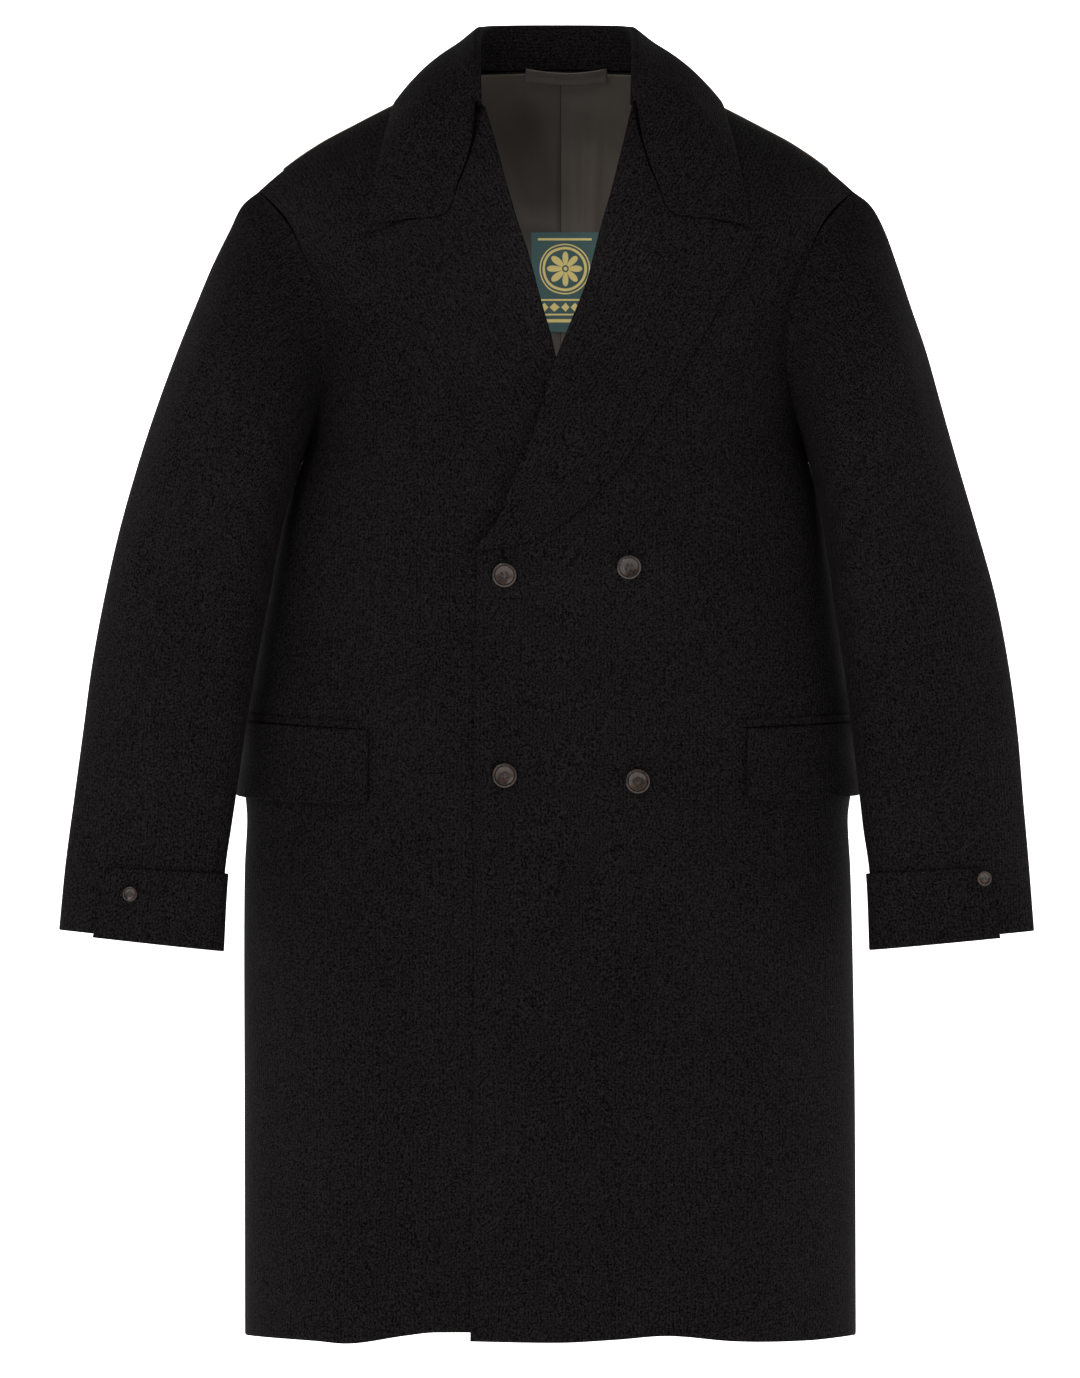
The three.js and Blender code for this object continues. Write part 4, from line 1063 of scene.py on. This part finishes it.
# A darker copy of the resin: painted shade for the grooves and holes of the buttons.
HORN_PAINTED_SHADE = horn("painted shade in the grooves and holes of the buttons", "060403", "120d0a")
THREAD = thread("button thread, twisted polyester")
WOVEN = woven_label("woven damask label")


def cut_size(ob):
    """Width, length and area of the cut of a sheet, in metres, from its place on the cloth."""
    mesh = ob.data
    uv = np.empty(len(mesh.loops) * 2)
    mesh.uv_layers["cut"].data.foreach_get("uv", uv)
    uv = uv.reshape(-1, 2)
    w, l = uv.max(axis=0) - uv.min(axis=0)
    area = sum(p.area for p in mesh.polygons) / 2
    return float(w), float(l), float(area)


def cloth_piece(ob, node, material):
    finish_piece(ob, node, material)
    w, l, area = cut_size(ob)
    area = min(max(area, 0.31 * w * l), w * l)
    return ob


# Fronts and back
for side, node, edge_at, hem, y_at in (
    (1, "front_left", upper_edge, HEM_UPPER, upper_y),
    (-1, "front_right", covered_edge, HEM_COVERED, covered_y),
):
    grid = front_grid(side, edge_at, hem, y_at, 92)
    cloth_piece(panel(node + "_cloth", grid, (FREE, SEWN, FREE, SEWN)), node, WOOL)
cloth_piece(panel("back_cloth", back_grid(120), (FREE, SEWN, SEWN, SEWN)), "back", WOOL)

# Lapels, their ribs running with the roll line
for side, node, edge_at, outer_rows, top_rows, y_at in (
    (1, "lapel_left", upper_edge, LEFT_LAPEL_EDGE, LEFT_LAPEL_TOP, upper_y),
    (-1, "lapel_right", covered_edge, RIGHT_LAPEL_EDGE, RIGHT_LAPEL_TOP, covered_y),
):
    p, n, lift, u, v = lapel_grid(edge_at, outer_rows, top_rows, side, y_at)
    outer, inner = thin(p, n, LAPEL_CLOTH, lift)
    lean = math.radians(29) * side
    c, s = math.cos(lean), math.sin(lean)
    uv = np.stack([p[..., 0] * c - p[..., 2] * s, p[..., 0] * s + p[..., 2] * c], -1)
    cloth_piece(shell(node + "_cloth", outer, inner, uv), node, WOOL_FACE)

# Collar
p = collar_grid()
n = grid_normals(p)
middle = p.shape[0] // 2
if n[middle, -3] @ (p[middle, -3] - np.array([0, 0, -30.0])) < 0:
    n = -n
outer, inner = thin(p, n, CLOTH, edges=(FREE, FREE, SEWN, FREE))
cloth_piece(shell("collar_cloth", outer, inner, arc_uv(p)), "collar", WOOL_FACE)

# Sleeves, their two parts this far apart in radians at each seam
SPLIT_GAP = 0.004
for side, word in ((1, "left"), (-1, "right")):
    for part, first, last, count in (
        ("top", -BACK_SPLIT, FRONT_SPLIT, 90),
        ("under", FRONT_SPLIT, 2 * FAN_ROWS - BACK_SPLIT, 40),
    ):
        a = mix(first * ANGLE_STEP + SPLIT_GAP, last * ANGLE_STEP - SPLIT_GAP, edged(count, 0.8, 200))
        r = edged(170, 0.9, 660.0) * SLEEVE_END
        p, n = sleeve_point(side, r[:, None], a[None, :])
        outer, inner = thin(p, n, CLOTH, edges=(SEWN, FREE, SEWN, SEWN))
        node = f"sleeve_{word}_{part}"
        cloth_piece(shell(node + "_cloth", outer, inner, arc_uv(p)), node, WOOL)

# Cuff bands
BAND_TOP, BAND_LOW = 13, 14.055
for side, word in ((1, "left"), (-1, "right")):
    down = edged(26, 0.9, 66.0)[:, None]
    ring = mix(BAND_TOP, BAND_LOW, down)
    round_corner = 0.3 * np.exp(-down / 0.06)
    end = mix(4.55, 4.05, down) + round_corner
    share = edged(110, 0.9, 250.0)[None, :]
    angle = mix(end, 2 * FAN_ROWS - BACK_SPLIT, share) * ANGLE_STEP
    p, n = sleeve_point(side, ring, angle)
    proud = BAND_LIFT + 0.8 * down**2 - 0.5 * np.exp(-share / 0.02)
    outer, inner = thin(p, n, CLOTH, np.broadcast_to(proud, p.shape[:2]))
    band = shell(f"cuff_{word}_cloth", outer, inner, arc_uv(p))
    cloth_piece(band, "cuff_" + word, WOOL)

# Pocket flaps and jets
for i, side in enumerate((-1, 1)):
    word = "left" if side > 0 else "right"
    y_at = upper_y if side > 0 else covered_y

    def pocket(x0, shift, deep, rows, thick, lift, name, node, corner):
        v = edged(rows, 0.8, deep)[:, None]
        u = edged(60, 0.8, 160.0)[None, :]
        rounding = 0
        if corner:
            near = np.exp(-u * 160 / corner) + np.exp(-(1 - u) * 160 / corner)
            rounding = corner * near * v**14
        top = mix(POCKETS["in_z"][i], POCKETS["out_z"][i], u) + shift
        z = top - deep * v + rounding
        x = mix(x0, side * half_width(side, z) * 0.9995, side_bias(u))
        p, n = on_face(y_at, x, z, -1)
        grid = thin(p, n, thick, np.broadcast_to(lift(u, v), p.shape[:2]))
        cloth_piece(shell(name, *grid, unrolled_uv(p, x0)), node, WOOL)

    pocket(POCKETS["x"][i], 0, POCKETS["deep"][i], 26, FLAP_CLOTH,
           lambda u, v: FLAP_CLOTH + 1 + v * v * (2.6 + 2.6 * u) + 0.5 * np.sin(5 * u + 2 * v + side),
           f"flap_{word}_cloth", f"flap_{word}", 5.0)
    pocket(POCKETS["jet"][i], JET_HIGH + 1, JET_HIGH, 6, JET_CLOTH,
           lambda u, v: JET_CLOTH + 0.6 + 0 * u * v,
           f"jet_{word}_cloth", f"jet_{word}", 0)

# Lining of the back, with its middle pleat and soft wrinkles; its top edge meets the neck seam
LINING_RISE = 1.5
LINING_CREASES = [
    (4, -12, 5, -300, 1.3, -0.7),
    (14, -8, 20, -300, 5, 1.4),
    (38, -14, 30, -150, 5, 2.2),
    (52, -20, 66, -150, 8, 2.4),
    (-60, -30, -20, -130, 8, -1.0),
    (-85, -60, -30, -190, 8, 1.1),
    (70, -60, 30, -170, 7, -1.0),
    (-70, -120, 60, -150, 9, 0.8),
]


def lining_y(x, z):
    return back_y(x, z) - ridges(LINING_CREASES, x, z)


t = np.sin(edged(90, 0.4, 380.0) * np.pi / 2)[:, None]
g = (edged(120, 0.4, 480.0) * 2 - 1)[None, :]
out = LINING_SHARE * armhole_x(mix(LINING_LOW, TIP_Z, t))
top_z = back_top_z(LINING_SHARE * TIP_X * g) + LINING_RISE
p, n = on_face(lining_y, out * g, mix(LINING_LOW, top_z, t), 1)
grid = thin(p, n, LINING_CLOTH, np.full(p.shape[:2], -LINING_DEEP))
cloth_piece(shell("back_lining_cloth", *grid, unrolled_uv(p)), "back_lining", SATIN)


def inside_patch(x0, x1, top, low, columns_n, rows_n, fine):
    v = edged(rows_n, fine, abs(top - low))[:, None]
    u = edged(columns_n, fine, x1 - x0)[None, :]
    x, z = np.broadcast_arrays(mix(x0, x1, u), mix(low, top, v))
    return x, z, np.broadcast_to(u, x.shape), np.broadcast_to(v, x.shape)


x, z, u, v = inside_patch(LABEL["x0"], LABEL["x1"], LABEL["top"], LABEL["low"], 40, 50, 0.3)
p, n = on_face(back_y, x, z, 1)
lift = -(LABEL_DEEP + 1.6) + 0 * u
grid = thin(p, n, LABEL_CLOTH, lift)
uv = np.stack([x - (LABEL["x0"] + LABEL["x1"]) / 2, z - (LABEL["top"] + LABEL["low"]) / 2], -1)
woven = shell("label_cloth", *grid, uv)
cloth_piece(woven, "label", WOVEN)
x, z, u, v = inside_patch(LOOP["x0"], LOOP["x1"], LOOP["top"], LOOP["low"], 60, 14, 0.4)
p, n = on_face(back_y, x, z, 1)
lift = -(LABEL_DEEP + LOOP["clear"] + LOOP["bulge"] * np.sin(np.pi * u)) + 0.5 * np.sin(np.pi * v) ** 2
grid = thin(p, n, LOOP["cloth"], lift)
uv = arc_uv(p)[..., ::-1]
ends = [(float(uv[..., k].min()) * M, float(uv[..., k].max()) * M) for k in (0, 1)]
LOOP_SATIN = satin("hanger loop, folded satin tape", "39332f", "544c48", border=ends)
cloth_piece(shell("hanger_loop_tape", *grid, uv), "hanger_loop", LOOP_SATIN)


# Buttons: a turned disc, inset to a dished face with a rim, drilled, and sewn on through its holes
def only(ob):
    bpy.ops.object.select_all(action="DESELECT")
    ob.select_set(True)
    bpy.context.view_layer.objects.active = ob


def apply_all(ob):
    only(ob)
    for modifier in list(ob.modifiers):
        bpy.ops.object.modifier_apply(modifier=modifier.name)


def rod(radius, length, at, axis="z", sides=12):
    bpy.ops.mesh.primitive_cylinder_add(vertices=sides, radius=radius, depth=length, location=at)
    ob = bpy.context.object
    if axis != "z":
        about = "X" if axis == "y" else "Y"
        bpy.ops.transform.rotate(value=math.pi / 2, orient_axis=about, center_override=at)
    bpy.ops.object.transform_apply(location=True, rotation=True, scale=True)
    return ob


def joined(parts, name):
    bpy.ops.object.select_all(action="DESELECT")
    for part in parts:
        part.select_set(True)
    bpy.context.view_layer.objects.active = parts[0]
    bpy.ops.object.join()
    parts[0].name = name
    return parts[0]


# Steps inwards from the rim, as parts of the radius and of the thickness: how wide, how deep
BUTTON_STEPS = (
    (0.05, 0.06),
    (0.1, 0.0),
    (0.05, -0.22),
    (0.03, 0.0),
    (0.03, 0.06),
    (0.14, -0.15),
    (0.14, -0.07),
    (0.14, -0.02),
)
FRONT_BUTTON = dict(radius=10.5, thick=3.4)
CUFF_BUTTON = dict(radius=6.35, thick=2.6)
BUTTON_TURNS = (0.12, -0.2, 0.3, 0.05)


def turned_button(name, radius, thick):
    bpy.ops.mesh.primitive_cylinder_add(vertices=72, radius=radius, depth=thick, location=(0, 0, thick / 2))
    ob = bpy.context.object
    ob.name = name
    bpy.ops.object.transform_apply(location=True, rotation=False, scale=False)
    bpy.ops.object.mode_set(mode="EDIT")
    bm = bmesh.from_edit_mesh(ob.data)
    for face in bm.faces:
        face.select = face.normal.z > 0.9
    bmesh.update_edit_mesh(ob.data)
    for wide, deep in BUTTON_STEPS:
        bpy.ops.mesh.inset(thickness=wide * radius, depth=deep * thick)
    bpy.ops.object.mode_set(mode="OBJECT")
    at = radius * 0.19
    holes = joined([rod(radius * 0.085, thick * 3, (sx * at, sy * at, thick / 2), sides=20)
                    for sx in (-1, 1) for sy in (-1, 1)], name + "_drill")
    cut = ob.modifiers.new("holes", "BOOLEAN")
    cut.object, cut.operation, cut.solver = holes, "DIFFERENCE", "EXACT"
    apply_all(ob)
    bpy.data.objects.remove(holes)
    soft = ob.modifiers.new("edges", "BEVEL")
    soft.width, soft.segments = radius * 0.022, 3
    soft.limit_method, soft.angle_limit = "ANGLE", math.radians(28)
    apply_all(ob)
    only(ob)
    bpy.ops.object.shade_smooth_by_angle(angle=math.radians(40))
    # Painted shade: the faces of the groove and the walls of the holes get the darker resin of the second
    # material, where shade falls.
    for face in ob.data.polygons:
        away = face.center.xy.length / radius
        if face.center.z > thick * 0.2 and (0.76 < away < 0.86 or (away < 0.34 and face.normal.z < 0.7)):
            face.material_index = 1
    return ob


def button_thread(name, radius, thick):
    at, strand = radius * 0.19, radius * 0.03
    parts = [rod(radius * 0.13, SHANK * M * 1.02, (0, 0, -SHANK * M / 2), sides=20)]
    for sx in (-1, 1):
        for k in (-1, 0, 1):
            x = sx * at + k * strand * 1.1
            parts.append(rod(strand, at * 2.1, (x, 0, thick * (0.79 - 0.02 * abs(k))), "y"))
            for sy in (-1, 1):
                parts.append(rod(strand, thick * 0.7, (x, sy * at, thick * 0.45)))
    ob = joined(parts, name)
    only(ob)
    bpy.ops.object.shade_smooth_by_angle(angle=math.radians(50))
    return ob


def sew_on(ob, place, normal, turn):
    matrix = Vector(normal).to_track_quat("Z", "Y").to_matrix().to_4x4()
    spin = Matrix.Rotation(turn, 4, "Z")
    ob.data.transform(Matrix.Translation(Vector(place)) @ matrix @ spin)
    ob.data.update()
    return ob


def place_button(node, kind, p, n, turn):
    radius, thick = kind["radius"], kind["thick"]
    seat_at = (p + n * (SHANK + SHANK_GAP)) * M
    disc = sew_on(turned_button(node + "_horn", radius * M, thick * M), seat_at, n, turn)
    sewn = sew_on(button_thread(node + "_thread", radius * M, thick * M), seat_at, n, turn)
    finish_piece(disc, node, HORN)
    # The second material paints shade into the groove and the holes.
    disc.data.materials.append(HORN_PAINTED_SHADE)
    sewn.data.materials.append(THREAD)
    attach(sewn, "root")


for i in range(4):
    x, z = FRONT_BUTTONS["x"][i], FRONT_BUTTONS["z"][i]
    p, n = on_face(upper_y, np.array([x]), np.array([z]), -1)
    place_button(f"button_{i + 1}", FRONT_BUTTON, p[0], n[0], BUTTON_TURNS[i])


def sleeve_spot(side, x, z):
    ring, angle = 13.4, 1.0
    for _ in range(12):
        p = sleeve_at(side, ring, angle)
        a = (sleeve_at(side, ring + 0.01, angle) - p) * 100
        b = (sleeve_at(side, ring, angle + 0.01) - p) * 100
        det = a[0] * b[2] - a[2] * b[0]
        ring += ((x - p[0]) * b[2] - (z - p[2]) * b[0]) / det
        angle += (a[0] * (z - p[2]) - a[2] * (x - p[0])) / det
    return ring, angle


for i, side in enumerate((-1, 1)):
    ring, angle = sleeve_spot(side, CUFFS["x"][i], CUFFS["z"][i])
    p, n = sleeve_point(side, np.array([ring]), np.array([angle]))
    word = "left" if side > 0 else "right"
    seat = p[0] + n[0] * (BAND_LIFT + 0.4)
    place_button("cuff_button_" + word, CUFF_BUTTON, seat, n[0], 0.4 * side)

# Stage: a pale floor that rises into a pale backdrop, far enough below and behind to lie out of the way
FLOOR_Z = -1.42


def sweep():
    profile = [(-6.0, FLOOR_Z)]
    for k in range(13):
        a = k / 12 * math.pi / 2
        profile.append((3.2 + 1.6 * math.sin(a), FLOOR_Z + 1.6 * (1 - math.cos(a))))
    profile.append((4.8, 4.0))
    verts, faces = [], []
    for y, z in profile:
        verts += [(-7.0, y, z), (7.0, y, z)]
    for k in range(len(profile) - 1):
        faces.append((2 * k, 2 * k + 1, 2 * k + 3, 2 * k + 2))
    mesh = bpy.data.meshes.new("backdrop")
    mesh.from_pydata(verts, [], faces)
    ob = bpy.data.objects.new("backdrop", mesh)
    bpy.context.scene.collection.objects.link(ob)
    mesh.polygons.foreach_set("use_smooth", [True] * len(mesh.polygons))
    n = Nodes("painted studio paper")
    grain = n.noise(n.add("TexCoord").outputs["Object"], 40.0, 3.0)
    n.set(Base_Color=n.colour(grain, srgb("f4f4f3"), srgb("fbfbfa")), Roughness=0.9,
          Emission_Color=(1, 1, 1, 1), Emission_Strength=1.05)
    mesh.materials.append(n.mat)


sweep()


def aim_lamp(name, data, place, target):
    ob = bpy.data.objects.new(name, data)
    ob.location = place
    ob.rotation_euler = (Vector(target) - Vector(place)).to_track_quat("-Z", "Y").to_euler()
    bpy.context.scene.collection.objects.link(ob)


def area_light(name, place, target, size, power):
    data = bpy.data.lights.new(name, "AREA")
    data.shape = "RECTANGLE"
    data.size, data.size_y = size
    data.energy = power
    aim_lamp(name, data, place, target)


def spot_light(name, place, target, degrees, power):
    data = bpy.data.lights.new(name, "SPOT")
    data.energy = power
    data.spot_size = math.radians(degrees)
    data.spot_blend = 1.0
    data.shadow_soft_size = 0.05
    aim_lamp(name, data, place, target)


area_light("key", (-2.4, -3.6, 0.7), (0, 0, -0.8), (2.2, 2.2), 34)
area_light("fill", (2.9, -3.8, -0.8), (0, 0, -0.9), (2.4, 2.8), 34)
area_light("left_edge", (-3.0, 0.6, -0.4), (-0.2, 0, -0.6), (1.2, 3.0), 56)
area_light("right_edge", (3.0, 0.6, -0.4), (0.2, 0, -0.6), (1.2, 3.0), 60)
area_light("neck", (0, -2.0, 2.2), (0, 0, -0.15), (1.2, 0.8), 18)
spot_light("label", (0.03, -2.4, 0.25), (0.008, 0.07, -0.18), 5.0, 90)
area_light("glint", (-1.5, -3.2, 1.7), (0, 0, -0.7), (0.45, 0.45), 30)

world = bpy.data.worlds.new("studio")
bpy.context.scene.world = world
world.use_nodes = True
world.node_tree.nodes["Background"].inputs["Color"].default_value = (1, 1, 1, 1)
world.node_tree.nodes["Background"].inputs["Strength"].default_value = 0.22
bpy.context.scene.view_settings.view_transform = "Standard"

# Camera: level with the middle of the coat, far away with a long lens
CAMERA_FAR = 20.0
PICTURE = (1080, 1378)
MM_PER_PIXEL = 0.88
camera = bpy.data.cameras.new("camera")
camera.sensor_fit = "HORIZONTAL"
camera.sensor_width = 36
camera.lens = 36 * (CAMERA_FAR - 0.05) / (PICTURE[0] * MM_PER_PIXEL * M)
camera.clip_end = 60
view = bpy.data.objects.new("camera", camera)
view.location = ((540 - 556) * MM_PER_PIXEL * M, -CAMERA_FAR, (73 - 689) * MM_PER_PIXEL * M)
view.rotation_euler = (math.pi / 2, 0, 0)
bpy.context.scene.collection.objects.link(view)
bpy.context.scene.camera = view
